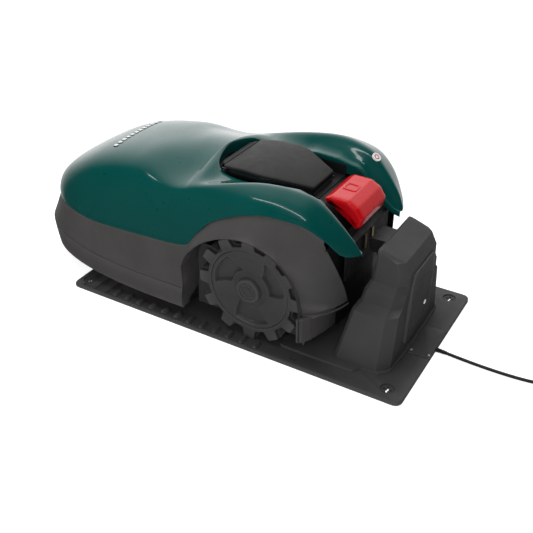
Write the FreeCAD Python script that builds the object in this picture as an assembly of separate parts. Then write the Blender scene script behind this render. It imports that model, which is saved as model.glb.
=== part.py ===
"""Robotic lawn mower standing in its charging dock, as an assembly of separate pieces.

Frame, in millimetres: +Z up, the mower's nose towards -X, the dock's tower towards +X, and Y = 0 the
middle plane. The origin is at floor level under the middle of the bounding box, without the lead.
"""
import FreeCAD, Part
import math
import os

V = FreeCAD.Vector
X_AXIS = V(1, 0, 0)
Y_AXIS = V(0, 1, 0)
Z_AXIS = V(0, 0, 1)

# Driving dimensions of the dock
PLATE_FRONT_X = -288.0
PLATE_REAR_X = 434.5
PLATE_HALF_WIDTH = 185.0
PLATE_TOP = 8.0
CLEAT_TOP = 14.0
CLEATS = 12
CLEAT_PITCH = 29.8
FIRST_CLEAT_X = -187.0
CLEAT_INNER_Y = 160.0
CLEAT_OUTER_Y = 181.0
TOWER_WALL = 3.0
HEAD_FRONT_X = 297.0
CONTACT_Z = 196.0
CONTACT_Y = 15.0
LEAD_RADIUS = 3.0
LEAD_EXIT = (452.5, -9.4, 4.2)
COIL_CENTRE = (675.0, -26.0)
COIL_MEAN_RADIUS = 33.0
COIL_HALF_WIDTH = 9.5
COIL_HEIGHT = 19.0

# Driving dimensions of the mower
NOSE_X = -434.5
SKIRT_BOTTOM = 35.0
SKIN = 3.5
SEAM_GAP = 1.2
WHEEL_X = 122.5
WHEEL_RADIUS = 106.0
WHEEL_Z = PLATE_TOP + WHEEL_RADIUS + 0.3
WHEEL_INNER_Y = 114.0
WHEEL_OUTER_Y = 155.0
AXLE_RADIUS = 6.0
RUNNING = 0.05
LUGS = 12
BLADE_X = -80.0
BLADE_RADIUS = 104.0
BLADE_Z = 66.0
CUT_TRAVEL = 34.0
CASTER_X = -245.0
CASTER_TRAIL = 24.0
CASTER_RADIUS = 40.0
TUB_BOTTOM = 96.0
TUB_TOP = 140.0
LID_FRONT_X = 16.0
LID_HINGE_X = 20.0
LID_HINGE_Z = 293.0
BAY_WALL_X = 276.0
STOP_HALF_WIDTH = 53.5
PIN_RADIUS = 2.5
KEY_X = 88.0
KEY_Y = 26.0
KEY_RADIUS = 9.0
KNOB_X = 50.0
TRIM_X = -232.0
TRIM_HALF_WIDTH = 78.0
BADGE_PLACE = (240.0, 108.0)

NODES = {}


def save(name, shape):
    """Keep one named piece for export."""
    NODES[name] = shape.Solids[0] if len(shape.Solids) == 1 else shape


def box(x0, x1, y0, y1, z0, z1):
    return Part.makeBox(x1 - x0, y1 - y0, z1 - z0, V(x0, y0, z0))


def cylinder(radius, start, end):
    start, end = V(*start), V(*end)
    return Part.makeCylinder(radius, start.distanceToPoint(end), start, end - start)


def union(*shapes):
    result = shapes[0]
    for shape in shapes[1:]:
        result = result.fuse(shape)
    return result.removeSplitter()


def mirrored(shape):
    """The same piece on the other side of the middle plane."""
    return shape.mirror(V(0, 0, 0), Y_AXIS)


def both_sides(shape):
    return Part.makeCompound([shape, mirrored(shape)])


def prism(points, axis, start, end):
    """Extrude a closed outline. axis is the extrusion axis; points hold the other two coordinates."""
    place = {
        "x": lambda a, b: V(start, a, b),
        "y": lambda a, b: V(a, start, b),
        "z": lambda a, b: V(a, b, start),
    }[axis]
    wire = Part.makePolygon([place(a, b) for a, b in points + points[:1]])
    along = {"x": X_AXIS, "y": Y_AXIS, "z": Z_AXIS}[axis]
    return Part.Face(wire).extrude(along * (end - start))


def rounded_slab(x0, x1, half_width, z0, z1, radius):
    """Flat slab with rounded vertical corners."""
    slab = box(x0, x1, -half_width, half_width, z0, z1)
    uprights = [e for e in slab.Edges if abs(e.tangentAt(e.FirstParameter).z) > 0.99]
    return slab.makeFillet(radius, uprights)


def curve(points):
    """Smooth function of x through the given (x, value) points, flat beyond both ends."""
    xs = [p[0] for p in points]
    vs = [p[1] for p in points]
    chord = [(vs[i + 1] - vs[i]) / (xs[i + 1] - xs[i]) for i in range(len(xs) - 1)]
    slope = [chord[0]]
    for left, right in zip(chord, chord[1:]):
        slope.append(0.0 if left * right <= 0 else 2 * left * right / (left + right))
    slope.append(chord[-1])

    def value(x):
        if x <= xs[0]:
            return vs[0]
        for i in range(len(xs) - 1):
            if x <= xs[i + 1]:
                span = xs[i + 1] - xs[i]
                t = (x - xs[i]) / span
                h00 = (1 + 2 * t) * (1 - t) ** 2
                h10 = t * (1 - t) ** 2
                h01 = t * t * (3 - 2 * t)
                h11 = t * t * (t - 1)
                return h00 * vs[i] + h10 * span * slope[i] + h01 * vs[i + 1] + h11 * span * slope[i + 1]
        return vs[-1]

    return value


# --- the mower's body shape -------------------------------------------------------------------------

FULL_X = -30.0    # behind this the nose's rounding in plan has ended
TAPER_X = 100.0   # behind this the tail's rounding in plan begins
COVER_HALF = 165.0
SKIRT_HALF = 175.0
BAY_FRONT_X = -16.0
TAIL_SEAM_DROP = 3.0    # extra room under the cover where the seam turns down steeply
KEEL_DEPTH = 3.0     # the closed sections meet this far below their lowest point
COVER_NOSE = -408.0
COVER_TAIL = 316.0
CREASE_TAIL = 300.0
BOTTOM_NOSE = -426.0
BOTTOM_TAIL = 272.0


def plan(x, nose, tail, half_width, tail_power):
    """Half width of the body in plan, rounded at the nose and at the tail."""
    if x < FULL_X:
        u = min(1.0, (FULL_X - x) / (FULL_X - nose))
        return half_width * (1 - u ** 2.5) ** (1 / 3)
    u = min(1.0, max(0.0, (x - TAPER_X) / (tail - TAPER_X)))
    return half_width * (1 - u ** tail_power) ** (1 / 3)


# Heights and half widths along x: the seam under the cover, the cover's crown, the ridge of its
# haunches and its rim round the control bay, and the crease of the lower skirt.
seam_z = curve([(-408, 144), (-330, 147), (-263, 149), (-208, 154), (-112, 163), (-28, 169), (-5, 175),
                (19, 205), (55, 241), (93, 261), (129, 275), (177, 284), (199, 284), (225, 280),
                (243, 271), (262, 256), (276, 239), (286, 225), (296, 217), (305, 213)])
top_z = curve([(-408, 146), (-400, 172), (-388, 194), (-373, 210), (-333, 240), (-253, 280), (-200, 293),
               (-150, 300), (-100, 305), (-53, 309), (20, 310), (120, 300), (200, 288), (260, 270),
               (305, 230)])
crest_y = curve([(-88, 142), (-30, 140), (0, 136), (67, 128), (115, 121), (172, 117), (200, 112),
                 (232, 106), (260, 101), (286, 98), (305, 93)])
crest_z = curve([(-88, 256), (-30, 272), (10, 284), (38, 292), (67, 300), (115, 311), (145, 315),
                 (172, 316), (190, 314), (232, 304), (258, 279), (273, 264), (286, 249), (296, 235),
                 (305, 217)])
rim_y = curve([(-16, 1), (-14, 16), (-10, 34), (-4, 52), (2, 64), (12, 73), (24, 78), (60, 84), (100, 84),
               (140, 79), (187, 74), (205, 73), (250, 73), (280, 77), (305, 84)])
rim_z = curve([(-16, 309), (-10, 307), (0, 302), (12, 295), (24, 290), (60, 288), (100, 289), (137, 294),
               (176, 294), (190, 291), (205, 287), (219, 284), (245, 259), (273, 235), (297, 214), (305, 212)])
crease_z = curve([(-434, 90), (-300, 84), (-200, 80), (-40, 84), (-15, 120), (10, 172), (40, 210),
                  (70, 231), (97, 244), (133, 251), (168, 249), (200, 240), (235, 222), (258, 200),
                  (275, 170), (300, 120)])


def cover_poles(x, inset, drop):
    """Control points (y, z) of the upper body's half section at x, from its seam to its crown or rim."""
    half = max(1.0, plan(x, COVER_NOSE + inset, COVER_TAIL, COVER_HALF, 4.5) - inset)
    foot = seam_z(x) - drop + SEAM_GAP
    crown = max(top_z(x) - inset, foot + 1.5)
    rise = crown - foot
    dome = [(half, foot), (1.015 * half, foot + 0.20 * rise), (0.985 * half, foot + 0.47 * rise),
            (0.86 * half, foot + 0.76 * rise), (0.70 * half, foot + 0.905 * rise),
            (0.48 * half, foot + 0.975 * rise), (0.24 * half, crown)]
    blend = min(1.0, max(0.0, (x + 150) / 130))
    blend = blend * blend * (3 - 2 * blend)
    crest = min(crest_y(x), half - 2.0)
    ridge = max(crest_z(x) - inset, foot + 2.0)
    rim = min(rim_y(x) + inset, crest - 4.0) if x > BAY_FRONT_X else 0.5
    lip = (rim_z(x) if x > BAY_FRONT_X else top_z(x)) - inset
    rise = ridge - foot
    haunch = [(half, foot), (half + 1.5, foot + 0.25 * rise), (half - 0.15 * (half - crest), foot + 0.62 * rise),
              (crest + 0.38 * (half - crest), foot + 0.95 * rise), (crest, ridge + 5),
              (crest - 0.30 * (crest - rim), ridge - 1 - 0.35 * (ridge - lip)),
              (rim + 0.28 * (crest - rim), lip - 1)]
    return [(a[0] + (b[0] - a[0]) * blend, a[1] + (b[1] - a[1]) * blend) for a, b in zip(dome, haunch)]


def cover_curve(x, inset, drop):
    """Smooth line over the upper body at x, from one seam to the other."""
    half = cover_poles(x, inset, drop)
    poles = [V(x, y, z) for y, z in half] + [V(x, -y, z) for y, z in reversed(half)]
    spans = len(poles) - 3
    line = Part.BSplineCurve()
    line.buildFromPolesMultsKnots(poles, [4] + [1] * (spans - 1) + [4], list(range(spans + 1)), False, 3)
    return line


def cover_z(x, y):
    """Height of the upper body's skin above (x, y)."""
    line = cover_curve(x, 0.0, 0.0)
    low, high = 0.0, line.LastParameter / 2
    for _ in range(40):
        middle = (low + high) / 2
        if line.value(middle).y > abs(y):
            low = middle
        else:
            high = middle
    return line.value(high).z


def cover_section(x, inset, drop):
    """Closed cross-section of the upper body at x, drawn inward by inset and lowered by drop."""
    line = cover_curve(x, inset, drop)
    last = line.LastParameter
    lowest = min(line.value(last * i / 60).z for i in range(61))
    depth = KEEL_DEPTH if x > BAY_FRONT_X else 0.05
    left, keel, right = line.value(last), V(x, 0, lowest - depth), line.value(0.0)
    closing = [Part.LineSegment(left, keel).toShape(), Part.LineSegment(keel, right).toShape()]
    return Part.Wire([line.toShape()] + closing)


def skirt_section(x, inset, drop, lift):
    """Closed cross-section of the lower body at x: bottom edge, crease, seam, and back."""
    low = SKIRT_BOTTOM - drop
    bottom = max(2.0, plan(x, BOTTOM_NOSE + inset, BOTTOM_TAIL - inset, SKIRT_HALF, 8) - inset)
    crease = max(4.0, plan(x, NOSE_X + inset, CREASE_TAIL - inset, SKIRT_HALF, 4.2) - inset)
    seam = max(1.0, plan(x, COVER_NOSE - 3 + inset, COVER_TAIL, COVER_HALF + 1, 4.5) - inset)
    tail_share = min(1.0, max(0.0, (x - 225) / 30))
    side = [(bottom, low), (crease, crease_z(x)), (seam, seam_z(x) + lift - TAIL_SEAM_DROP * tail_share)]
    outline = [V(x, y, z) for y, z in side] + [V(x, -y, z) for y, z in reversed(side)]
    return Part.makePolygon(outline + outline[:1])


COVER_STATIONS = [-406.5, -400, -388, -370, -340, -300, -250, -190, -130, -80, -40, -10, 20, 55, 95, 135,
                  175, 205, 235, 262, 285, 304]
COVER_INNER = [-402.0, -397] + COVER_STATIONS[2:-1] + [308.0]
SKIRT_STATIONS = [-434.4, -431, -424, -412, -395, -370, -335, -290, -230, -150, -70, -20, 10, 45, 90, 135,
                  180, 215, 245, 265, 280, 294]
SKIRT_INNER = [-430.5, -427.0] + SKIRT_STATIONS[2:-1] + [290.0]


def arch_wire(y, grow):
    """Outline of the wheel arch's opening at y, made larger by grow."""
    radius = 110.0 + grow
    rear = WHEEL_X + 113.0 + grow
    front = -18.0 - grow
    low = SKIRT_BOTTOM - 30.0
    arc_top = V(WHEEL_X, y, WHEEL_Z + radius)
    arc_mid = V(WHEEL_X + radius * math.sin(math.radians(45)), y, WHEEL_Z + radius * math.cos(math.radians(45)))
    rear_top = V(rear, y, WHEEL_Z)
    front_top = V(front + 4, y, 96.0)
    front_mid = V(WHEEL_X - (radius + 6) * 0.7071, y, WHEEL_Z + (radius + 6) * 0.7071)
    edges = [
        Part.LineSegment(V(front, y, low), front_top),
        Part.Arc(front_top, front_mid, arc_top),
        Part.Arc(arc_top, arc_mid, rear_top),
        Part.LineSegment(rear_top, V(rear, y, low)),
        Part.LineSegment(V(rear, y, low), V(front, y, low)),
    ]
    return Part.Wire([e.toShape() for e in edges])


def arch_block(y0, y1, grow):
    return Part.Face(arch_wire(y0, grow)).extrude(V(0, y1 - y0, 0))


def bay_prism(grow, z0, z1):
    """Plan of the opening in the cover that holds the lid, the keys and the stop button."""
    side = [(BAY_FRONT_X - grow, 0), (-12 - grow, 30), (-5 - grow, 50 + grow), (1, 64 + grow), (12, 74 + grow),
            (24, 79 + grow), (60, 84 + grow), (100, 84 + grow), (140, 79 + grow), (187, 75 + grow),
            (205, 74 + grow), (250, 74 + grow), (280, 78 + grow), (340, 90 + grow)]
    outline = side + [(x, -y) for x, y in reversed(side[1:])]
    return prism(outline, "z", z0, z1)


def top_cover():
    outer = Part.makeLoft([cover_section(x, 0.0, 0.0) for x in COVER_STATIONS], True, False)
    inner = Part.makeLoft([cover_section(x, SKIN, 6.0) for x in COVER_INNER], True, False)
    return outer.cut(inner).cut(bay_prism(0.0, 180.0, 340.0))


def tail_cut(shift, y0, y1):
    """Wedge behind the tail's raked underside."""
    rake = [(258 + shift, 0), (258 + shift, 35), (268 + shift, 100), (400, 100), (400, 0)]
    return prism(rake, "y", y0, y1)


def lower_skirt():
    outer = Part.makeLoft([skirt_section(x, 0.0, 0.0, 0.0) for x in SKIRT_STATIONS], True, True)
    inner = Part.makeLoft([skirt_section(x, SKIN, 5.0, 5.0) for x in SKIRT_INNER], True, True)
    shell = outer.cut(inner)
    for side in (1, -1):
        liner = arch_block(side * 106.0, side * 171.0, 3.0).common(outer)
        shell = shell.fuse(liner).cut(arch_block(side * 100.0, side * 200.0, 0.0))
    shell = shell.cut(tail_cut(0.0, -200.0, 200.0)).cut(tail_cut(-12.0, -137.0, 137.0))
    shell = shell.cut(box(BAY_WALL_X + 4, 400.0, -90.0, 90.0, 0.0, 300.0))
    return max(shell.Solids, key=lambda s: s.Volume)



# --- pieces that ride with the bumping outer shell --------------------------------------------------

def control_bay():
    """Black tray that fills the cover's opening, with a rear wall that faces the dock."""
    floor_z = 262.0
    behind = 196.0
    tray = bay_prism(-0.6, floor_z, floor_z + 4.0)
    rim = bay_prism(-0.6, floor_z, 286.0).cut(bay_prism(-4.0, 200.0, 400.0))
    bay = tray.fuse(rim).cut(box(behind, 400.0, -200, 200, 0, 400))
    slope = prism([(190, floor_z), (190, floor_z + 4), (208, 259), (266, 219), (BAY_WALL_X + 4, 212),
                   (BAY_WALL_X + 4, 207), (264, 215), (206, 255)], "y", -70.0, 70.0)
    slope = slope.cut(cylinder(8.0, (240, 0, 200), (240, 0, 270)))
    rear_wall = box(BAY_WALL_X, BAY_WALL_X + 4, -89.5, 89.5, 148.0, 209.0)
    bay = union(bay, slope, rear_wall)
    for side in (1, -1):
        y0, y1 = sorted((side * 70.5, side * 73.4))
        bay = bay.fuse(box(LID_HINGE_X - 4, LID_HINGE_X + 6, y0, y1, floor_z + 1, LID_HINGE_Z + 4))
        bay = bay.cut(cylinder(PIN_RADIUS + RUNNING, (LID_HINGE_X, side * 60, LID_HINGE_Z),
                               (LID_HINGE_X, side * 80, LID_HINGE_Z)))
        bay = bay.cut(cylinder(KEY_RADIUS + 0.4, (KEY_X, side * KEY_Y, 255), (KEY_X, side * KEY_Y, 270)))
    return bay.cut(cylinder(4.0 + RUNNING, (KNOB_X, 0, 250), (KNOB_X, 0, 270))).removeSplitter()


def stop_switch():
    """Safety switch under the stop button's stem."""
    return box(230.0, 250.0, -9.0, 9.0, 208.0, 224.0)


def charging_contacts():
    """Two metal strips on the tail's rear wall."""
    face = BAY_WALL_X + 4
    strip = box(face, face + 2, CONTACT_Y - 4, CONTACT_Y + 4, CONTACT_Z - 18, CONTACT_Z + 12)
    return both_sides(strip)


def name_trim():
    """Plain bright bar let into the nose."""
    bars = []
    count = 6
    pitch = 2 * TRIM_HALF_WIDTH / count
    for i in range(count):
        y = -TRIM_HALF_WIDTH + pitch * (i + 0.5)
        z = cover_z(TRIM_X, y)
        bars.append(box(TRIM_X - 4, TRIM_X + 4, y - pitch * 0.4, y + pitch * 0.4, z - 3.0, z + 0.8))
    return Part.makeCompound(bars)


def side_badge():
    """Plain disc on the haunch."""
    x, y = BADGE_PLACE
    z = cover_z(x, y)
    return cylinder(9.0, (x, y, z - 4.0), (x + 0.6, y + 0.8, z + 1.5))


def display_window():
    return box(112.0, 152.0, -22.0, 22.0, 266.2, 268.2)


def bay_screws():
    screws = []
    for x, y in ((60, 60), (60, -60), (180, 50), (180, -50)):
        screws.append(cylinder(3.5, (x, y, 266.2), (x, y, 269.0)))
    return Part.makeCompound(screws)


save("top_cover", top_cover().cut(name_trim()).cut(side_badge()))
save("lower_skirt", lower_skirt())
save("control_bay", control_bay())
save("stop_switch", stop_switch())
save("charging_contacts", charging_contacts())
save("display_window", display_window())
save("bay_screws", bay_screws())
save("name_trim", name_trim())
save("side_badge", side_badge())


# --- lid, stop button, keys and height knob ---------------------------------------------------------

def lid_outline(grow):
    """Plan of the lid: widest over the keys and narrow towards the stop button."""
    side = [(LID_FRONT_X - grow, 64 + grow), (LID_FRONT_X + 5, 69 + grow), (60, 73 + grow), (97, 75 + grow),
            (125, 69 + grow), (187 + grow, 39 + grow)]
    return side + [(x, -y) for x, y in reversed(side)]


LID_CROWN_X = 75.0
LID_CROWN_Z = 307.5
LID_CROWN_RADIUS = 300.0
LID_THICKNESS = 5.0


def lid_crown(depth):
    """Everything under the lid's curved top, lowered by depth."""
    centre = V(LID_CROWN_X, -200, LID_CROWN_Z - LID_CROWN_RADIUS)
    return Part.makeCylinder(LID_CROWN_RADIUS - depth, 400.0, centre, Y_AXIS)


def lid_panel():
    """Lid with a gently curved top that tapers towards the stop button."""
    slab = prism(lid_outline(0.0), "z", 274.0, 312.0)
    return slab.common(lid_crown(0.0)).cut(lid_crown(LID_THICKNESS))


def lid_frame():
    """Gloss skirt under the lid's edge."""
    ring = prism(lid_outline(0.0), "z", 276.0, 304.0).cut(prism(lid_outline(-4.0), "z", 270.0, 312.0))
    return ring.common(lid_crown(LID_THICKNESS + 0.1))


def stop_button():
    """Broad stop button that overhangs the bay's slope, with its stem."""
    profile = [(212, 277), (225, 284), (258, 283), (276, 273), (288, 255), (284, 238), (275, 232)]
    cap = prism(profile, "y", -STOP_HALF_WIDTH, STOP_HALF_WIDTH)
    ends = [e for e in cap.Edges if e.BoundBox.YLength < 1.0]
    cap = cap.makeChamfer(3.0, ends)
    return cap.fuse(cylinder(6.0, (240, 0, 231), (240, 0, 268))).removeSplitter()


save("lid_panel", lid_panel())
save("lid_frame", lid_frame())
save("lid_pins", both_sides(cylinder(PIN_RADIUS, (LID_HINGE_X, 66, LID_HINGE_Z),
                                     (LID_HINGE_X, 73.2, LID_HINGE_Z))))
save("stop_button", stop_button())


def key(y):
    return cylinder(KEY_RADIUS, (KEY_X, y, 260.0), (KEY_X, y, 270.0))


save("go_button", key(-KEY_Y))
save("home_button", key(KEY_Y))


def height_knob():
    """Fluted knob that sets the cutting height, with its pointer."""
    knob = cylinder(19.0, (KNOB_X, 0, 266.5), (KNOB_X, 0, 273.0))
    for i in range(12):
        x = KNOB_X + 19.5 * math.cos(math.radians(30 * i))
        y = 19.5 * math.sin(math.radians(30 * i))
        knob = knob.cut(cylinder(2.2, (x, y, 266), (x, y, 275)))
    pointer = box(KNOB_X, KNOB_X + 16.0, -1.5, 1.5, 273.0, 274.2)
    shaft = cylinder(4.0, (KNOB_X, 0, 254.0), (KNOB_X, 0, 266.5))
    return union(knob, pointer, shaft)


save("height_knob", height_knob())


# --- chassis ----------------------------------------------------------------------------------------

def chassis_tub():
    """Tray that carries the drive, the battery and the cutting motor."""
    nose = [(-330, 60), (-300, 95), (-20, 100), (255, 100)]
    outline = nose + [(x, -y) for x, y in reversed(nose)]
    tub = prism(outline, "z", TUB_BOTTOM, TUB_TOP)
    hollow = [(-326, 56), (-298, 91), (-20, 96), (251, 96)]
    tub = tub.cut(prism(hollow + [(x, -y) for x, y in reversed(hollow)], "z", TUB_BOTTOM + 4, TUB_TOP + 1))
    tub = tub.cut(cylinder(50.0, (BLADE_X, 0, TUB_BOTTOM - 1), (BLADE_X, 0, TUB_BOTTOM + 5)))
    tub = tub.cut(cylinder(14.5, (CASTER_X, 0, TUB_BOTTOM - 1), (CASTER_X, 0, TUB_BOTTOM + 5)))
    for side in (1, -1):
        tub = tub.cut(cylinder(16.0, (WHEEL_X, side * 90, WHEEL_Z), (WHEEL_X, side * 110, WHEEL_Z)))
        tub = tub.cut(cylinder(5.2, (BLADE_X, side * 70, TUB_BOTTOM - 1), (BLADE_X, side * 70, TUB_BOTTOM + 5)))
    return tub


def battery_pack():
    pack = box(-18.0, 82.0, -80.0, 80.0, 101.0, 160.0)
    return pack.makeFillet(5.0, pack.Edges)


def battery_cover():
    """Hatch under the battery, held by four screws."""
    hatch = box(-26.0, 90.0, -88.0, 88.0, 92.0, 95.8)
    for x in (-19.0, 83.0):
        for y in (-81.0, 81.0):
            hatch = hatch.cut(cylinder(2.0, (x, y, 90), (x, y, 97)))
    return hatch


def battery_cover_screws():
    screws = []
    for x in (-19.0, 83.0):
        for y in (-81.0, 81.0):
            screws.append(cylinder(3.6, (x, y, 89.4), (x, y, 91.9)))
    return Part.makeCompound(screws)


def main_board():
    """Printed board with its larger parts, on four posts."""
    board = box(165.0, 245.0, -64.0, 64.0, 118.0, 120.0)
    chips = [box(180.0, 200.0, -12.0, 12.0, 120.0, 123.0), box(215.0, 235.0, 20.0, 55.0, 120.0, 132.0)]
    posts = [cylinder(3.0, (x, y, 100), (x, y, 118)) for x in (170.0, 240.0) for y in (-58.0, 58.0)]
    return union(board, *chips, *posts)


def gearbox():
    """Reduction gearbox of the drive wheel on the +Y side, with its output axle."""
    case = cylinder(32.0, (WHEEL_X, 72, WHEEL_Z + 22), (WHEEL_X, 94, WHEEL_Z + 22))
    boss = cylinder(15.5, (WHEEL_X, 72, WHEEL_Z), (WHEEL_X, 112, WHEEL_Z))
    axle = cylinder(AXLE_RADIUS, (WHEEL_X, 112, WHEEL_Z), (WHEEL_X, 152, WHEEL_Z))
    case = case.common(box(0, 300, 0, 200, TUB_BOTTOM + 4.2, 300))
    boss = boss.common(box(0, 300, 0, 200, TUB_BOTTOM + 4.2, 300)).fuse(
        cylinder(15.5, (WHEEL_X, 100.5, WHEEL_Z), (WHEEL_X, 112, WHEEL_Z)))
    return union(case, boss, axle)


def drive_motor():
    can = cylinder(18.0, (WHEEL_X, 22, WHEEL_Z + 28), (WHEEL_X, 71.5, WHEEL_Z + 28))
    shaft = cylinder(3.0, (WHEEL_X, 16, WHEEL_Z + 28), (WHEEL_X, 22, WHEEL_Z + 28))
    return union(can, shaft)


def caster_socket():
    """Bearing tube in the tub's floor that the front wheel's stem turns in."""
    tube = cylinder(14.0, (CASTER_X, 0, 94.0), (CASTER_X, 0, 138.0))
    flange = cylinder(20.0, (CASTER_X, 0, 100.1), (CASTER_X, 0, 104.0))
    bore = cylinder(8.0 + RUNNING, (CASTER_X, 0, 93.0), (CASTER_X, 0, 139.0))
    return union(tube, flange).cut(bore)


def shell_posts():
    """Four rubber posts that carry the outer shell and let it shift on a bump."""
    posts = []
    for x in (-285.0, 225.0):
        for y in (-78.0, 78.0):
            stem = cylinder(7.0, (x, y, 100.1), (x, y, 150.0))
            posts.append(stem.fuse(cylinder(11.0, (x, y, 118.0), (x, y, 126.0))))
    return Part.makeCompound(posts)


def deck_guides():
    """Two upright rods that the cutting deck slides on."""
    rods = [cylinder(5.0, (BLADE_X, y, 74.0), (BLADE_X, y, 170.0)) for y in (-70.0, 70.0)]
    return Part.makeCompound(rods)


save("chassis_tub", chassis_tub())
save("battery_pack", battery_pack())
save("battery_cover", battery_cover())
save("battery_cover_screws", battery_cover_screws())
save("main_board", main_board())
save("right_gearbox", gearbox())
save("left_gearbox", mirrored(gearbox()))
save("right_drive_motor", drive_motor())
save("left_drive_motor", mirrored(drive_motor()))
save("caster_socket", caster_socket())
save("shell_posts", shell_posts())
save("deck_guides", deck_guides())


# --- cutting deck and blade -------------------------------------------------------------------------

def blade_motor():
    """Motor can with its two guide bushes and its shaft."""
    can = cylinder(44.0, (BLADE_X, 0, 100.0), (BLADE_X, 0, 158.0))
    plate = cylinder(49.0, (BLADE_X, 0, 158.0), (BLADE_X, 0, 162.0))
    arm = box(BLADE_X - 9, BLADE_X + 9, -80.0, 80.0, 158.0, 164.0)
    body = union(can, plate, arm)
    for y in (-70.0, 70.0):
        body = body.fuse(cylinder(9.0, (BLADE_X, y, 146.0), (BLADE_X, y, 164.0)))
        body = body.cut(cylinder(5.0 + RUNNING, (BLADE_X, y, 140.0), (BLADE_X, y, 170.0)))
    shaft = cylinder(6.0, (BLADE_X, 0, 60.0), (BLADE_X, 0, 100.0))
    return union(body, shaft)


def deck_guard():
    """Dished guard above the blade, which keeps grass out of the motor."""
    dish = cylinder(98.0, (BLADE_X, 0, 76.0), (BLADE_X, 0, 79.0))
    rim = cylinder(98.0, (BLADE_X, 0, 72.0), (BLADE_X, 0, 79.0))
    rim = rim.cut(cylinder(95.0, (BLADE_X, 0, 71.0), (BLADE_X, 0, 80.0)))
    hub = cylinder(16.0, (BLADE_X, 0, 79.0), (BLADE_X, 0, 99.9))
    guard = union(dish, rim, hub).cut(cylinder(7.0, (BLADE_X, 0, 70.0), (BLADE_X, 0, 101.0)))
    for y in (-70.0, 70.0):
        guard = guard.cut(cylinder(5.6, (BLADE_X, y, 70.0), (BLADE_X, y, 90.0)))
    return guard


def blade():
    """Star blade: three swept arms round a hub that is bored for the motor's shaft."""
    star = cylinder(20.0, (BLADE_X, 0, BLADE_Z - 3), (BLADE_X, 0, BLADE_Z + 3))
    for i in range(3):
        arm = prism([(-13, 10), (-11, BLADE_RADIUS - 18), (-4, BLADE_RADIUS - 1), (6, BLADE_RADIUS - 3),
                     (13, BLADE_RADIUS - 30), (13, 10)], "z", BLADE_Z - 1.2, BLADE_Z + 1.2)
        arm.rotate(V(0, 0, 0), Z_AXIS, 120 * i)
        arm.translate(V(BLADE_X, 0, 0))
        star = star.fuse(arm)
    return star.cut(cylinder(6.0 + RUNNING, (BLADE_X, 0, 50.0), (BLADE_X, 0, 80.0))).removeSplitter()


save("blade_motor", blade_motor())
save("deck_guard", deck_guard())
save("blade", blade())
save("blade_cap", cylinder(11.0, (BLADE_X, 0, 55.0), (BLADE_X, 0, 59.8)).fuse(
    cylinder(15.0, (BLADE_X, 0, 59.8), (BLADE_X, 0, BLADE_Z - 3)).cut(
        cylinder(6.0 + RUNNING, (BLADE_X, 0, 59.9), (BLADE_X, 0, BLADE_Z)))).removeSplitter())


# --- drive wheels -----------------------------------------------------------------------------------

def tyre():
    """Hard rubber tread with wide square lugs, for the +Y side."""
    root = WHEEL_RADIUS - 17.0
    ring = cylinder(root, (WHEEL_X, WHEEL_INNER_Y, WHEEL_Z), (WHEEL_X, WHEEL_OUTER_Y, WHEEL_Z))
    lug = prism([(-19, root - 8), (-14.5, WHEEL_RADIUS - 2), (-10, WHEEL_RADIUS), (10, WHEEL_RADIUS),
                 (14.5, WHEEL_RADIUS - 2), (19, root - 8)], "y", WHEEL_INNER_Y, WHEEL_OUTER_Y)
    lug = lug.common(cylinder(WHEEL_RADIUS, (0, 0, 0), (0, 200, 0)))
    for i in range(LUGS):
        turned = lug.copy()
        turned.rotate(V(0, 0, 0), Y_AXIS, 360.0 / LUGS * i)
        turned.translate(V(WHEEL_X, 0, WHEEL_Z))
        ring = ring.fuse(turned)
    return ring.cut(cylinder(80.0, (WHEEL_X, 100, WHEEL_Z), (WHEEL_X, 170, WHEEL_Z))).removeSplitter()


def window(inner, outer, middle, spread, y0, y1):
    """Ring-sector cutter round the wheel's axis; angles in degrees from +X towards +Z."""
    points = []
    steps = 8
    for i in range(steps + 1):
        a = math.radians(middle - spread + 2 * spread * i / steps)
        points.append((WHEEL_X + outer * math.cos(a), WHEEL_Z + outer * math.sin(a)))
    points.append((WHEEL_X + inner * math.cos(a), WHEEL_Z + inner * math.sin(a)))
    a = math.radians(middle - spread)
    points.append((WHEEL_X + inner * math.cos(a), WHEEL_Z + inner * math.sin(a)))
    return prism(points, "y", y0, y1)


def wheel_disc():
    """Dished disc with three broad spokes, bored for the gearbox's axle."""
    disc = cylinder(79.9, (WHEEL_X, WHEEL_INNER_Y, WHEEL_Z), (WHEEL_X, WHEEL_OUTER_Y - 1, WHEEL_Z))
    for middle in (150.0, 30.0, 270.0):
        disc = disc.cut(window(33.0, 73.0, middle, 30.0, 141.0, 160.0))
    disc = disc.cut(cylinder(76.0, (WHEEL_X, 110, WHEEL_Z), (WHEEL_X, 134, WHEEL_Z)))
    disc = disc.fuse(cylinder(17.0, (WHEEL_X, 116, WHEEL_Z), (WHEEL_X, 134, WHEEL_Z)))
    bore = cylinder(AXLE_RADIUS + RUNNING, (WHEEL_X, 100, WHEEL_Z), (WHEEL_X, 170, WHEEL_Z))
    return disc.cut(bore).removeSplitter()


def hub_cap():
    cap = Part.makeCone(26.5, 22.0, 8.0, V(WHEEL_X, WHEEL_OUTER_Y - 1.0, WHEEL_Z), Y_AXIS)
    dimple = cylinder(13.0, (WHEEL_X, WHEEL_OUTER_Y + 5.6, WHEEL_Z), (WHEEL_X, 170, WHEEL_Z))
    return cap.cut(dimple)


for side, turn in (("right", lambda s: s), ("left", mirrored)):
    save(f"{side}_tyre", turn(tyre()))
    save(f"{side}_wheel_disc", turn(wheel_disc()))
    save(f"{side}_hub_cap", turn(hub_cap()))


# --- front caster -----------------------------------------------------------------------------------

CASTER_WHEEL_X = CASTER_X + CASTER_TRAIL
CASTER_WHEEL_Z = PLATE_TOP + CASTER_RADIUS + 0.3


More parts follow.
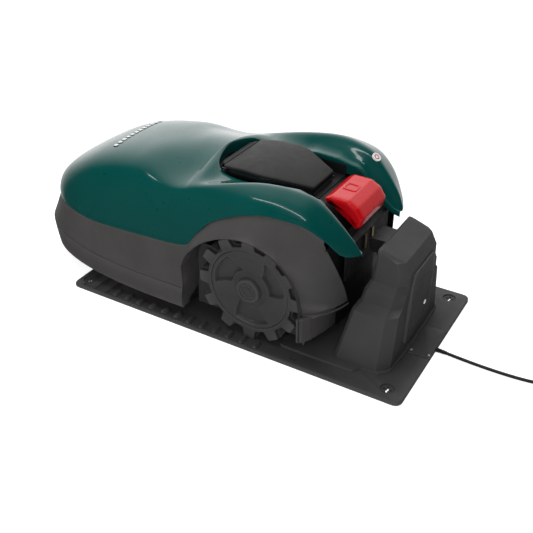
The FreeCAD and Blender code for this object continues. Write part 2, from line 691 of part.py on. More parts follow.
def caster_fork():
    stem = cylinder(8.0, (CASTER_X, 0, 92.0), (CASTER_X, 0, 142.0))
    cap = cylinder(12.0, (CASTER_X, 0, 138.3), (CASTER_X, 0, 142.0))
    crown = box(CASTER_X - 14, CASTER_WHEEL_X + 12, -22.0, 22.0, 89.8, 93.7)
    cheeks = []
    for y0, y1 in ((-22.0, -18.5), (18.5, 22.0)):
        cheeks.append(prism([(CASTER_X - 12, 92), (CASTER_WHEEL_X - 9, CASTER_WHEEL_Z - 6),
                             (CASTER_WHEEL_X, CASTER_WHEEL_Z - 10), (CASTER_WHEEL_X + 9, CASTER_WHEEL_Z - 6),
                             (CASTER_WHEEL_X + 12, 92)], "y", y0, y1))
    fork = union(stem, cap, crown, *cheeks)
    return fork.cut(cylinder(4.0, (CASTER_WHEEL_X, -30, CASTER_WHEEL_Z), (CASTER_WHEEL_X, 30, CASTER_WHEEL_Z)))


def caster_wheel():
    wheel = cylinder(CASTER_RADIUS, (CASTER_WHEEL_X, -17, CASTER_WHEEL_Z), (CASTER_WHEEL_X, 17, CASTER_WHEEL_Z))
    wheel = wheel.makeFillet(8.0, wheel.Edges)
    bore = cylinder(4.0 + RUNNING, (CASTER_WHEEL_X, -30, CASTER_WHEEL_Z), (CASTER_WHEEL_X, 30, CASTER_WHEEL_Z))
    return wheel.cut(bore)


save("caster_fork", caster_fork())
save("caster_wheel", caster_wheel())
save("caster_axle", cylinder(4.0, (CASTER_WHEEL_X, -24, CASTER_WHEEL_Z), (CASTER_WHEEL_X, 24, CASTER_WHEEL_Z)))


# --- dock -------------------------------------------------------------------------------------------

def cross_hole(x, y):
    """Peg hole shaped as a plus sign, in a shallow round recess."""
    arm = box(x - 8, x + 8, y - 2, y + 2, -1, 9).fuse(box(x - 2, x + 2, y - 8, y + 8, -1, 9))
    return arm.fuse(cylinder(13.0, (x, y, PLATE_TOP - 2), (x, y, PLATE_TOP + 1)))


def dock_plate():
    """Base plate with ribs across its front, peg holes and the cable's channel."""
    plate = rounded_slab(PLATE_FRONT_X, PLATE_REAR_X, PLATE_HALF_WIDTH, 0.0, PLATE_TOP, 16.0)
    top = [e for e in plate.Edges if e.BoundBox.ZMin > PLATE_TOP - 0.1]
    plate = plate.makeChamfer(2.5, top)
    for i in range(3):
        x = FIRST_CLEAT_X - CLEAT_PITCH * (i + 0.6)
        for y in (-138.0, 138.0):
            plate = plate.cut(box(x, x + 14, y - 42, y + 42, PLATE_TOP - 2, PLATE_TOP + 1))
    for x in (PLATE_REAR_X - 34.0, PLATE_FRONT_X + 22.0):
        for y in (-157.0, 157.0):
            plate = plate.cut(cross_hole(x, y))
    for y in (-170.0, 170.0):
        plate = plate.cut(box(217.0, 229.0, y - 3, y + 3, -1, 9))
    plate = plate.cut(box(389.0, PLATE_REAR_X + 1, -47.0, 47.0, PLATE_TOP - 2, PLATE_TOP + 1))
    return plate.removeSplitter()


def dock_tread():
    """Strip of grip cleats outside the wheel track on the +Y side."""
    last = FIRST_CLEAT_X + CLEAT_PITCH * (CLEATS - 1)
    strip = box(FIRST_CLEAT_X - 3, last + 15, CLEAT_INNER_Y, CLEAT_OUTER_Y, PLATE_TOP, PLATE_TOP + 0.6)
    for i in range(CLEATS):
        x = FIRST_CLEAT_X + CLEAT_PITCH * i
        strip = strip.fuse(prism([(x, PLATE_TOP), (x + 3, CLEAT_TOP), (x + 8, CLEAT_TOP), (x + 12, PLATE_TOP)],
                                 "y", CLEAT_INNER_Y, CLEAT_OUTER_Y))
    return strip.removeSplitter()


def tower_section(z, x0, x1, half, corner):
    points = [(x0, half - corner * 0.4), (x0 + corner * 0.4, half), (x1 - corner, half), (x1, half - corner)]
    outline = points + [(x, -y) for x, y in reversed(points)]
    return Part.makePolygon([V(x, y, z) for x, y in outline + outline[:1]])


TOWER_LEVELS = [(PLATE_TOP, 281, 386, 131, 20), (112, 303, 386, 113, 19), (126, 311, 387, 97, 18),
                (146, 315, 388, 91, 17), (160, 321, 388, 79, 16), (182, 324, 388, 76, 15),
                (204, 326, 376, 73, 12)]
ROOF_LEVELS = [(204, 326, 376, 73, 12), (219, 328, 330, 69, 0.5)]


def dock_tower():
    """Hollow tower with two shoulders and a raked top."""
    outer = Part.makeLoft([tower_section(*level) for level in TOWER_LEVELS], True, True)
    outer = outer.fuse(Part.makeLoft([tower_section(*level) for level in ROOF_LEVELS], True, True))
    wall = TOWER_WALL
    inner_levels = [(z - (8 if i == 0 else wall), x0 + wall, x1 - wall, half - wall, corner)
                    for i, (z, x0, x1, half, corner) in enumerate(TOWER_LEVELS)]
    inner = Part.makeLoft([tower_section(*level) for level in inner_levels], True, True)
    tower = outer.cut(inner)
    slot = box(290.0, 346.0, -26.0, 26.0, CONTACT_Z - 14, CONTACT_Z + 14)
    lens = cylinder(4.0, (360, 28, 74), (400, 28, 74))
    return tower.cut(slot).cut(lens).removeSplitter()


def dock_rear_cover():
    """Raised service cover on the tower's rear face."""
    outline = [(-58, 30), (58, 30), (54, 150), (44, 176), (-44, 176), (-54, 150)]
    cover = prism(outline, "x", 360.0, 400.0)
    tower = Part.makeLoft([tower_section(*level) for level in TOWER_LEVELS], True, True)
    shift = tower.copy()
    shift.translate(V(4.0, 0, 0))
    cover = cover.common(shift).cut(tower)
    return cover.cut(cylinder(4.0, (360, 28, 74), (400, 28, 74)))


def contact_housing():
    """Open-fronted box on the tower that guides the sprung contact carriage."""
    shell = box(HEAD_FRONT_X, 345.0, -25.5, 25.5, CONTACT_Z - 13.5, CONTACT_Z + 13.5)
    return shell.cut(box(290.0, 341.0, -22.5, 22.5, CONTACT_Z - 10.5, CONTACT_Z + 10.5)).removeSplitter()


def contact_carriage():
    return box(HEAD_FRONT_X - 4, 333.0, -22.0, 22.0, CONTACT_Z - 10.0, CONTACT_Z + 10.0)


def contact_strips():
    return both_sides(box(HEAD_FRONT_X - 6, HEAD_FRONT_X - 4, CONTACT_Y - 4, CONTACT_Y + 4, CONTACT_Z - 8, CONTACT_Z + 8))


# The lead lies along the floor through these points, from the gland to the coil.
LEAD_ROUTE = [LEAD_EXIT, (481.0, -10.8, 3.5), (516.0, -12.2, 3.1), (553.0, -12.4, 3.1), (589.0, -10.6, 3.1),
              (622.0, -5.6, 3.1), (650.0, 3.0, 3.1)]


def lead_path(route):
    """Straight runs joined by tangent arcs as large as the runs allow."""
    points = [V(*p) for p in route]
    edges = []
    radii = []
    start = points[0]
    for before, corner, after in zip(points, points[1:], points[2:]):
        into = (corner - before).normalize()
        away = (after - corner).normalize()
        turn = into.getAngle(away)
        cut = 0.45 * min(before.distanceToPoint(corner), corner.distanceToPoint(after))
        radii.append(cut / math.tan(turn / 2))
        first = corner - into * cut
        last = corner + away * cut
        bulge = radii[-1] * (1 / math.cos(turn / 2) - 1)
        middle = corner + (away - into).normalize() * bulge
        edges.append(Part.LineSegment(start, first).toShape())
        edges.append(Part.Arc(first, middle, last).toShape())
        start = last
    edges.append(Part.LineSegment(start, points[-1]).toShape())
    print("lead radii, mm:", [round(r) for r in radii])
    return Part.Wire(edges)


def dock_lead_run():
    path = lead_path(LEAD_ROUTE)
    start = V(*LEAD_ROUTE[0])
    profile = Part.Wire(Part.makeCircle(LEAD_RADIUS, start, V(*LEAD_ROUTE[1]) - start))
    tube = path.makePipeShell([profile], True, False)
    ideal = math.pi * LEAD_RADIUS ** 2 * path.Length
    print("lead run, mm:", round(path.Length, 1), "volume ratio:", round(tube.Volume / ideal, 4))
    return tube


def dock_lead_coil():
    """Outer shape of the coiled rest of the lead."""
    x, y = COIL_CENTRE
    outer = COIL_MEAN_RADIUS + COIL_HALF_WIDTH
    inner = COIL_MEAN_RADIUS - COIL_HALF_WIDTH
    ring = cylinder(outer, (x, y, 0.0), (x, y, COIL_HEIGHT)).cut(cylinder(inner, (x, y, -1), (x, y, COIL_HEIGHT + 1)))
    return ring.makeFillet(3.0, ring.Edges)


def dock_lead_gland():
    """Tapered strain relief where the lead leaves the plate."""
    x, y, z = LEAD_EXIT
    cone = Part.makeCone(4.1, 3.4, x - PLATE_REAR_X, V(PLATE_REAR_X, y, z), X_AXIS)
    return cone


def dock_lead_plug():
    """Two-pin plug for a low-voltage supply, with its locking ring."""
    start = V(691.0, 14.5, 7.2)
    along = V(1.0, 0.12, 0.0).normalize()
    body = Part.makeCylinder(5.5, 30.0, start, along)
    ring = Part.makeCylinder(7.0, 12.0, start + along * 14, along)
    pins = [Part.makeCylinder(1.0, 38.0, start + V(0, dy, 0), along) for dy in (-2.0, 2.0)]
    return union(body, ring, *pins)


save("dock_lead_gland", dock_lead_gland())
save("dock_lead_run", dock_lead_run())
save("dock_lead_coil", dock_lead_coil())
save("dock_lead_plug", dock_lead_plug())
save("dock_plate", dock_plate())
save("dock_right_tread", dock_tread())
save("dock_left_tread", mirrored(dock_tread()))
save("dock_tower", dock_tower())
save("dock_rear_cover", dock_rear_cover())
save("dock_contact_housing", contact_housing())
save("dock_contact_carriage", contact_carriage())
save("dock_contact_strips", contact_strips())
save("dock_status_lens", cylinder(3.9, (372, 28, 74), (386, 28, 74)))
save("dock_circuit_board", box(340.0, 342.0, -40.0, 40.0, 60.0, 140.0))
save("dock_cable_cover", box(389.3, PLATE_REAR_X - 0.5, -46.7, 46.7, PLATE_TOP - 2, PLATE_TOP + 0.8))
save("dock_screws", Part.makeCompound([
    cylinder(3.2, (430, -39, PLATE_TOP + 0.8), (430, -39, PLATE_TOP + 2.0)),
    cylinder(3.2, (396, -39, PLATE_TOP + 0.8), (396, -39, PLATE_TOP + 2.0))]))

os.makedirs("parts", exist_ok=True)
for node, shape in NODES.items():
    shape.exportStep(f"parts/{node}.step")
    if not shape.isValid():
        print("invalid solid:", node)
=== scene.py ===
"""Robotic lawn mower in its charging dock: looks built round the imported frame."""
import math

import bmesh
import bpy
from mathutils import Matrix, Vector


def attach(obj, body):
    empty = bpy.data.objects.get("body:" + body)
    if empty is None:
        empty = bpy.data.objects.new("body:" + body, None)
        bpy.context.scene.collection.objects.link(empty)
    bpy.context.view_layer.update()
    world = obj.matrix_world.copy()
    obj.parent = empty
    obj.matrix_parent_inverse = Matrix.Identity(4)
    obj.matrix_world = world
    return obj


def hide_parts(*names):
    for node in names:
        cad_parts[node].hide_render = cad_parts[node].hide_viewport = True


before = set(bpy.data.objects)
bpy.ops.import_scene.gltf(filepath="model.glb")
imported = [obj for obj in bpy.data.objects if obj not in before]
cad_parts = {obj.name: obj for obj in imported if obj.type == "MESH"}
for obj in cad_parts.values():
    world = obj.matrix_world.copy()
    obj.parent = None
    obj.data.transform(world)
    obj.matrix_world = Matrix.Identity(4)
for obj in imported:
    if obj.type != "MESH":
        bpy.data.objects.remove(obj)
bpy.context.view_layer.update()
MM = 0.001
MICRON = 0.000001
TAU = 2 * math.pi


def link(made):
    """Put a new object into the scene."""
    bpy.context.scene.collection.objects.link(made)
    return made


# --- camera ---

CAMERA_PLACE = (0.73998, -1.13974, 0.91256)
CAMERA_TILT = math.radians(57.23)
CAMERA_TURN = math.radians(30.55)
FOCAL_LENGTH = 53.01
SENSOR_WIDTH = 36.0


def make_camera():
    data = bpy.data.cameras.new("camera")
    data.sensor_width = SENSOR_WIDTH
    data.lens = FOCAL_LENGTH
    camera = link(bpy.data.objects.new("camera", data))
    camera.location = CAMERA_PLACE
    camera.rotation_euler = (CAMERA_TILT, 0.0, CAMERA_TURN)
    bpy.context.scene.camera = camera


make_camera()


# --- materials ---

FINISH = {}
CLOUD_SCALE, CLOUD_DETAIL = 16.0, 5.0
GLOSS_SCALE, GLOSS_DETAIL = 55.0, 4.0
WAVE_DETAIL = 2.0
GRAIN_DETAIL = 3.0
# Pointiness range over which sharp edges take the painted highlight.
HIGHLIGHT_FROM, HIGHLIGHT_TO = 0.51, 0.60
NOISE_LOW, NOISE_HIGH = 0.3, 0.7
MIX_FACTOR, MIX_BELOW, MIX_ABOVE, MIX_RESULT = 0, 6, 7, 2


def node(tree, kind, links=(), **values):
    """Add a node; links are (input, socket) pairs and values are inputs by name."""
    made = tree.nodes.new(kind)
    for name, value in values.items():
        made.inputs[name.replace("_", " ")].default_value = value
    for name, socket in links:
        tree.links.new(socket, made.inputs[name])
    return made


def ramp(tree, factor, low, high, low_at=NOISE_LOW, high_at=NOISE_HIGH):
    """Colour socket that runs from low to high as factor goes from low_at to high_at."""
    made = tree.nodes.new("ShaderNodeValToRGB")
    for element, colour, at in zip(made.color_ramp.elements, (low, high), (low_at, high_at)):
        element.position = at
        element.color = colour
    tree.links.new(factor, made.inputs["Fac"])
    return made.outputs["Color"]


def mix_to(tree, factor, below, above):
    """Colour socket that goes from the socket below to the colour above as factor rises."""
    mix = tree.nodes.new("ShaderNodeMix")
    mix.data_type = "RGBA"
    mix.inputs[MIX_ABOVE].default_value = above
    tree.links.new(factor, mix.inputs[MIX_FACTOR])
    tree.links.new(below, mix.inputs[MIX_BELOW])
    return mix.outputs[MIX_RESULT]


def shade(colour, factor):
    return tuple(min(1.0, c * factor) for c in colour[:3]) + (1.0,)


def material(name, colour, rough, spread=0.06, grain=0, grain_scale=900, mottle=0.10, edge=0.0, coat=0.0,
             coat_rough=0.04, metallic=0.0, waves=0, waves_scale=14, shine=0.5, **shader_values):
    """Procedural finish: cloudy base colour with a painted highlight that makes sharp edges paler, uneven
    gloss and fine bump.

    Grain and waves are heights in micrometres. The finish is kept in FINISH under its name.
    """
    made = bpy.data.materials.new(name)
    made.use_nodes = True
    tree = made.node_tree
    place = tree.nodes.new("ShaderNodeTexCoord").outputs["Object"]

    def noise(scale, detail):
        made_noise = node(tree, "ShaderNodeTexNoise", [("Vector", place)], Scale=scale, Detail=detail)
        return made_noise.outputs["Fac"]

    base = ramp(tree, noise(CLOUD_SCALE, CLOUD_DETAIL), shade(colour, 1 - mottle), shade(colour, 1 + mottle))
    # Painted highlight: sharp edges are made paler by the edge amount, standing in for light catching them.
    if edge:
        pointed = tree.nodes.new("ShaderNodeNewGeometry").outputs["Pointiness"]
        edge_highlight = ramp(tree, pointed, (0, 0, 0, 1), (1, 1, 1, 1), HIGHLIGHT_FROM, HIGHLIGHT_TO)
        base = mix_to(tree, edge_highlight, base, shade(colour, 1 + edge))
    gloss = node(tree, "ShaderNodeMapRange", [("Value", noise(GLOSS_SCALE, GLOSS_DETAIL))],
                 From_Min=NOISE_LOW, From_Max=NOISE_HIGH,
                 To_Min=max(0.0, rough - spread), To_Max=min(1.0, rough + spread))
    normal = None
    for height, scale, detail in ((waves, waves_scale, WAVE_DETAIL), (grain, grain_scale, GRAIN_DETAIL)):
        if height:
            links = [("Height", noise(scale, detail))]
            if normal:
                links.append(("Normal", normal))
            bump = node(tree, "ShaderNodeBump", links, Strength=1.0, Distance=height * MICRON)
            normal = bump.outputs["Normal"]
    shader = tree.nodes["Principled BSDF"]
    tree.links.new(base, shader.inputs["Base Color"])
    tree.links.new(gloss.outputs["Result"], shader.inputs["Roughness"])
    if normal:
        tree.links.new(normal, shader.inputs["Normal"])
    values = {"Metallic": metallic, "Coat_Weight": coat, "Coat_Roughness": coat_rough,
              "Specular_IOR_Level": shine, **shader_values}
    for key, value in values.items():
        shader.inputs[key.replace("_", " ")].default_value = value
    FINISH[name] = made
    return made


material("cover_green", (0.0003, 0.054, 0.048), 0.30, 0.03, grain=10, grain_scale=1400, mottle=0.04, coat=0.9,
         coat_rough=0.08, waves=30, waves_scale=9, shine=0.2)
material("shell_grey", (0.054, 0.052, 0.051), 0.46, 0.05, grain=60, grain_scale=1500, mottle=0.09, edge=0.9,
         shine=0.4)
material("dock_grey", (0.042, 0.042, 0.042), 0.55, 0.05, grain=90, grain_scale=1100, edge=1.0,
         shine=0.22)
material("bay_black", (0.007, 0.007, 0.0075), 0.5, 0.08, grain=50, grain_scale=1200, mottle=0.15, edge=0.8)
material("lid_grey", (0.020, 0.0195, 0.019), 0.50, 0.04, grain=40, grain_scale=1600, mottle=0.06, edge=0.7,
         shine=0.2)
material("lid_black", (0.008, 0.008, 0.009), 0.18, 0.05, grain=10, coat=0.6, edge=0.5)
material("stop_red", (0.50, 0.002, 0.006), 0.28, 0.04, grain=20, mottle=0.05, coat=0.6, coat_rough=0.12,
         waves=20, waves_scale=30, shine=0.2)
material("key_green", (0.02, 0.30, 0.12), 0.4, grain=30, mottle=0.08, edge=0.3)
material("key_grey", (0.3, 0.3, 0.31), 0.4, grain=30, mottle=0.06, edge=0.3)
material("knob_grey", (0.22, 0.22, 0.23), 0.45, grain=50, mottle=0.08, edge=0.4)
material("screen", (0.01, 0.014, 0.013), 0.08, 0.02, grain=4, mottle=0.2, coat=1.0)
material("trim_chrome", (0.90, 0.90, 0.91), 0.24, 0.04, grain=8, mottle=0.05, metallic=1.0)
material("badge_white", (0.75, 0.75, 0.75), 0.25, 0.04, grain=10, mottle=0.04, coat=0.6)
material("badge_red", (0.45, 0.05, 0.09), 0.25, 0.04, grain=10, mottle=0.08, coat=0.6)
material("steel", (0.52, 0.52, 0.53), 0.32, 0.10, grain=30, grain_scale=500, mottle=0.14, metallic=1.0)
material("blade_steel", (0.45, 0.45, 0.47), 0.36, 0.12, grain=40, grain_scale=350, mottle=0.2, metallic=1.0)
material("contact_metal", (0.62, 0.48, 0.22), 0.3, 0.1, grain=20, mottle=0.15, metallic=1.0)
material("motor_metal", (0.38, 0.38, 0.39), 0.5, 0.1, grain=100, grain_scale=450, mottle=0.14, metallic=0.9)
material("board_green", (0.008, 0.10, 0.04), 0.3, grain=30, mottle=0.3, coat=0.5)
material("battery_black", (0.02, 0.02, 0.025), 0.4, 0.08, grain=40, mottle=0.15, edge=0.5)
material("tyre_rubber", (0.038, 0.037, 0.037), 0.55, grain=120, grain_scale=800, mottle=0.12, edge=0.9)
material("wheel_grey", (0.042, 0.042, 0.042), 0.36, 0.05, grain=50, grain_scale=1300, mottle=0.09, edge=0.8)
material("seal_rubber", (0.014, 0.014, 0.014), 0.6, 0.08, grain=60, mottle=0.15)
material("lead_black", (0.016, 0.016, 0.016), 0.45, 0.08, grain=30, mottle=0.15, edge=0.4)
material("lens", (0.80, 0.84, 0.82), 0.12, 0.03, grain=6, mottle=0.05, coat=1.0)


# --- mesh helpers ---

DEGENERATE = 1e-7
BEVEL_SEGMENTS = 3


def mesh_object(name, points, faces, clean=False, merge=0.0):
    """Object with a mesh from points in millimetres, its faces turned outward."""
    mesh = bpy.data.meshes.new(name)
    mesh.from_pydata([Vector(p) * MM for p in points], [], faces)
    work = bmesh.new()
    work.from_mesh(mesh)
    if merge:
        bmesh.ops.remove_doubles(work, verts=work.verts, dist=merge * MM)
    if clean:
        bmesh.ops.dissolve_degenerate(work, edges=work.edges, dist=DEGENERATE)
    bmesh.ops.recalc_face_normals(work, faces=work.faces)
    work.to_mesh(mesh)
    work.free()
    return link(bpy.data.objects.new(name, mesh))


def smooth_over(made, sharp):
    """Smooth shading except over edges sharper than sharp degrees."""
    made.data.shade_smooth()
    made.data.set_sharp_from_angle(angle=math.radians(sharp))


def piece(name, part, finish, body, hides=(), sharp=35.0, merge=0.0, bevel=0.0):
    """A piece from a (points, faces) pair; its slot is named like its finish."""
    made = mesh_object(name, *part, clean=True, merge=merge)
    smooth_over(made, sharp)
    made.data.materials.append(FINISH[finish])
    if bevel:
        edge = made.modifiers.new("bevel", "BEVEL")
        edge.width = bevel * MM
        edge.segments = BEVEL_SEGMENTS
        edge.limit_method = "ANGLE"
        edge.angle_limit = math.radians(sharp)
        edge.harden_normals = True
    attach(made, body)
    if hides:
        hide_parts(*hides)
    return made


def loft(rings, close_start=True, close_end=True, wrap=True):
    """Points and faces of a skin over rings with equal counts; ends are closed by a fan."""
    points = [p for ring in rings for p in ring]
    count = len(rings[0])
    span = count if wrap else count - 1
    faces = []
    for i in range(len(rings) - 1):
        a, b = i * count, (i + 1) * count
        for j in range(span):
            k = (j + 1) % count
            faces.append((a + j, a + k, b + k, b + j))
    for close, start in ((close_start, 0), (close_end, (len(rings) - 1) * count)):
        if close:
            ring = points[start:start + count]
            middle = tuple(sum(p[i] for p in ring) / count for i in range(3))
            points.append(middle)
            for j in range(count):
                faces.append((start + j, start + (j + 1) % count, len(points) - 1))
    return points, faces


def tube(rings):
    """Skin over closed rings, open at both ends."""
    return loft(rings, False, False)


def sheet(rows):
    """Skin over open rows."""
    return loft(rows, False, False, wrap=False)


def joined(*parts):
    """Several (points, faces) pairs as one."""
    points, faces = [], []
    for more_points, more_faces in parts:
        shift = len(points)
        points += list(more_points)
        faces += [tuple(i + shift for i in face) for face in more_faces]
    return points, faces


def flipped(part):
    """The same part mirrored over the middle plane."""
    points, faces = part
    return [(x, -y, z) for x, y, z in points], [tuple(reversed(face)) for face in faces]


def both_sides(part):
    return joined(part, flipped(part))


def rounded(corners, radius, steps=5):
    """Closed outline through 2-D corners, each rounded by radius (one number or one per corner)."""
    out = []
    count = len(corners)
    for i, corner in enumerate(corners):
        here = Vector(corner)
        before = Vector(corners[i - 1])
        after = Vector(corners[(i + 1) % count])
        r = radius[i] if isinstance(radius, (list, tuple)) else radius
        into = (before - here).normalized()
        away = (after - here).normalized()
        half = into.angle(away) / 2
        reach = min(r / math.tan(half), 0.49 * (before - here).length, 0.49 * (after - here).length)
        first = here + into * reach
        last = here + away * reach
        for s in range(steps + 1):
            t = s / steps
            spot = first * (1 - t) ** 2 + here * 2 * t * (1 - t) + last * t * t
            out.append((spot.x, spot.y))
    return out


def inset(outline, amount):
    """Outline moved inward by amount along its own normals; the outline may run either way round."""
    area = sum(a[0] * b[1] - b[0] * a[1] for a, b in zip(outline, outline[1:] + outline[:1]))
    turn = 1.0 if area > 0 else -1.0
    out = []
    for i, (x, y) in enumerate(outline):
        ax, ay = outline[i - 1]
        bx, by = outline[(i + 1) % len(outline)]
        dx, dy = bx - ax, by - ay
        size = math.hypot(dx, dy) or 1.0
        out.append((x - dy / size * amount * turn, y + dx / size * amount * turn))
    return out


def block(outline, profile):
    """Solid on a plan outline; profile is (z, inset) pairs."""
    return loft([[(x, y, z) for x, y in inset(outline, amount)] for z, amount in profile])


def box_part(x0, x1, y0, y1, z0, z1):
    return loft([[(x0, y0, z), (x1, y0, z), (x1, y1, z), (x0, y1, z)] for z in (z0, z1)])


def mirrored_corners(side):
    return side + [(x, -y) for x, y in reversed(side)]


def revolved(profile, origin, along, steps=28):
    """Rings round an axis; profile is (distance along, radius) pairs."""
    axis = Vector(along).normalized()
    side = axis.orthogonal().normalized()
    other = axis.cross(side)
    turns = [TAU * i / steps for i in range(steps)]
    rings = []
    for distance, radius in profile:
        centre = Vector(origin) + axis * distance
        rings.append([tuple(centre + (side * math.cos(a) + other * math.sin(a)) * radius) for a in turns])
    return rings


def curve(points):
    """Smooth function of x through the given (x, value) points, flat beyond both ends."""
    xs = [p[0] for p in points]
    vs = [p[1] for p in points]
    chord = [(vs[i + 1] - vs[i]) / (xs[i + 1] - xs[i]) for i in range(len(xs) - 1)]
    slope = [chord[0]]
    for left, right in zip(chord, chord[1:]):
        slope.append(0.0 if left * right <= 0 else 2 * left * right / (left + right))
    slope.append(chord[-1])

    def value(x):
        if x <= xs[0]:
            return vs[0]
        for i in range(len(xs) - 1):
            if x <= xs[i + 1]:
                span = xs[i + 1] - xs[i]
                t = (x - xs[i]) / span
                return ((1 + 2 * t) * (1 - t) ** 2 * vs[i] + t * (1 - t) ** 2 * span * slope[i]
                        + t * t * (3 - 2 * t) * vs[i + 1] + t * t * (t - 1) * span * slope[i + 1])
        return vs[-1]

    return value


def smooth(low, high, value):
    """Share from 0 at low to 1 at high, level at both ends."""
    t = min(1.0, max(0.0, (value - low) / (high - low)))
    return t * t * (3 - 2 * t)


def face_outward(target):
    """Turn an open skin so that its widest face looks away from the middle plane."""
    mesh = target.data
    widest = max(mesh.polygons, key=lambda face: face.center.y)
    if widest.normal.y < 0:
        mesh.flip_normals()


def cut(target, part):
    """Subtract a closed (points, faces) solid from target."""
    tool = mesh_object("cutter", *part)
    step = target.modifiers.new("cut", "BOOLEAN")
    step.operation = "DIFFERENCE"
    step.solver = "EXACT"
    step.use_hole_tolerant = True
    step.object = tool
    bpy.context.view_layer.update()
    graph = bpy.context.evaluated_depsgraph_get()
    mesh = bpy.data.meshes.new_from_object(target.evaluated_get(graph))
    target.modifiers.clear()
    target.data = mesh
    bpy.data.objects.remove(tool)


# --- the dock's lead ---

LEAD_RADIUS = 3.0
LEAD_ROUTE = [(452.5, -9.4, 4.2), (481.0, -10.8, 3.5), (516.0, -12.2, 3.1), (553.0, -12.4, 3.1),
              (589.0, -10.6, 3.1), (622.0, -5.6, 3.1), (645.0, 2.6, 3.1)]
COIL_CENTRE = (675.0, -26.0)
COIL_OUTER = 39.6
COIL_INNER = 26.8
COIL_START = math.radians(128.0)
COIL_TURNS = 6.04
POINTS_PER_TURN = 16
FLOOR_LAYER = 3.1
LAYER = 6.25
PLUG_START = (691.0, 14.5, 7.2)
PLUG_ALONG = (1.0, 0.12, 0.0)
PIN_OFFSET = 2.0
GLAND_START = (434.6, -8.9, 4.35)
GLAND_ALONG = (1, -0.03, 0)
GLAND_RIBS = 5


def coil_points():
    """Two flat layers, in and then out, and one turn on top that leaves over the outside."""
    top = FLOOR_LAYER + 2 * LAYER
    radius = curve([(0, COIL_OUTER), (2.0, COIL_INNER), (2.3, COIL_INNER), (4.3, COIL_OUTER), (4.7, 38.0),
                    (5.3, 38.0), (5.62, 41.5), (5.85, 45.5), (6.04, 46.5), (6.12, 46.5)])
    height = curve([(2.0, FLOOR_LAYER), (2.3, FLOOR_LAYER + LAYER), (4.3, FLOOR_LAYER + LAYER), (4.7, top),
                    (5.7, top), (5.88, 13.6), (6.0, 11.4), (6.12, 8.6)])
    points = []
    for i in range(1, int(COIL_TURNS * POINTS_PER_TURN) + 1):
        turns = i / POINTS_PER_TURN
        angle = COIL_START - TAU * turns
        r = radius(turns)
        points.append((COIL_CENTRE[0] + r * math.cos(angle), COIL_CENTRE[1] + r * math.sin(angle),
                       height(turns)))
    return points


def lead_curve():
    data = bpy.data.curves.new("dock_lead", "CURVE")
    data.dimensions = "3D"
    data.bevel_depth = LEAD_RADIUS * MM
    data.bevel_resolution = 5
    data.use_fill_caps = True
    data.resolution_u = 8
    line = data.splines.new("NURBS")
    route = LEAD_ROUTE + coil_points() + [PLUG_START]
    line.points.add(len(route) - 1)
    for spot, place in zip(line.points, route):
        spot.co = (*(Vector(place) * MM), 1.0)
    line.order_u = 3
    line.use_endpoint_u = True
    made = link(bpy.data.objects.new("dock_lead", data))
    data.materials.append(FINISH["lead_black"])
    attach(made, "dock")
    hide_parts("dock_lead_run", "dock_lead_coil")
    return made


def lead_gland():
    """Ribbed rubber relief that tapers onto the lead."""
    profile = [(0.0, 4.3), (1.5, 4.5)]
    for rib in range(GLAND_RIBS):
        at = 2.4 + 3.1 * rib
        size = 4.4 - 0.14 * rib
        profile += [(at, size), (at + 1.5, size - 0.05), (at + 1.9, size - 0.7), (at + 2.7, size - 0.75)]
    profile += [(18.6, 3.6), (19.6, 3.2)]
    return loft(revolved(profile, GLAND_START, GLAND_ALONG))


def lead_plug():
    profile = [(-1, 3.2), (0, 4.6), (2, 5.3), (3, 5.5), (12.5, 5.5), (13.2, 6.0), (13.8, 6.9), (14.6, 7.0),
               (25.4, 7.0), (26.2, 6.8), (26.8, 6.0), (29.4, 5.6), (30.2, 5.0), (30.2, 4.2), (27.5, 4.0)]
    return loft(revolved(profile, PLUG_START, PLUG_ALONG, 36))


def plug_pin(offset):
    profile = [(24, 0.9), (37, 0.9), (37.9, 0.6), (38.2, 0.2)]
    return loft(revolved(profile, Vector(PLUG_START) + Vector((0, offset, 0)), PLUG_ALONG, 12))


gland = piece("dock_lead_relief", lead_gland(), "seal_rubber", "dock", ["dock_lead_gland"], sharp=30)
plug = piece("dock_lead_connector", lead_plug(), "lead_black", "dock", ["dock_lead_plug"], sharp=30)
pin_pair = joined(plug_pin(-PIN_OFFSET), plug_pin(PIN_OFFSET))
plug_pins = piece("dock_lead_pins", pin_pair, "contact_metal", "dock")
lead = lead_curve()


# --- floor and light ---

FLOOR_HALF = 9.0
FLOOR_GLOW = 0.80
FLOOR_COLOUR = (0.60, 0.60, 0.60)
BACKDROP_SIDE = (-0.42, 0.86, 0.28)
BACKDROP_FROM, BACKDROP_TO = 0.35, 0.95
ROOM_DARK = (0.012, 0.012, 0.012, 1.0)
ROOM_PALE = (1.25, 1.25, 1.25, 1.0)
# Each light: name, place, height it aims at over the origin, width and height, watts, shows in gloss.
LIGHTS = [("overhead", (-0.3, 0.2, 1.9), 0.10, (1.5, 1.5), 30.0, False),
          ("front_fill", (0.9, -2.0, 1.2), 0.10, (1.6, 1.6), 22.0, False),
          ("ceiling_strip", (0.0, -0.55, 1.7), 0.20, (2.2, 0.10), 5.0, True),
          ("side_fill", (-1.3, -1.3, 0.75), 0.15, (0.60, 1.1), 7.0, False)]


def stage_floor():
    """White floor with a glow of its own, kept out of the gloss."""
    made = bpy.data.meshes.new("floor")
    corners = [(x * FLOOR_HALF, y * FLOOR_HALF, 0.0) for x, y in ((-1, -1), (1, -1), (1, 1), (-1, 1))]
    made.from_pydata(corners, [], [(0, 1, 2, 3)])
    floor = link(bpy.data.objects.new("floor", made))
    made.materials.append(material("studio_floor", FLOOR_COLOUR, 0.9, 0.02, mottle=0.004, shine=0.0,
                                   Emission_Color=(1, 1, 1, 1), Emission_Strength=FLOOR_GLOW))
    floor.visible_glossy = False


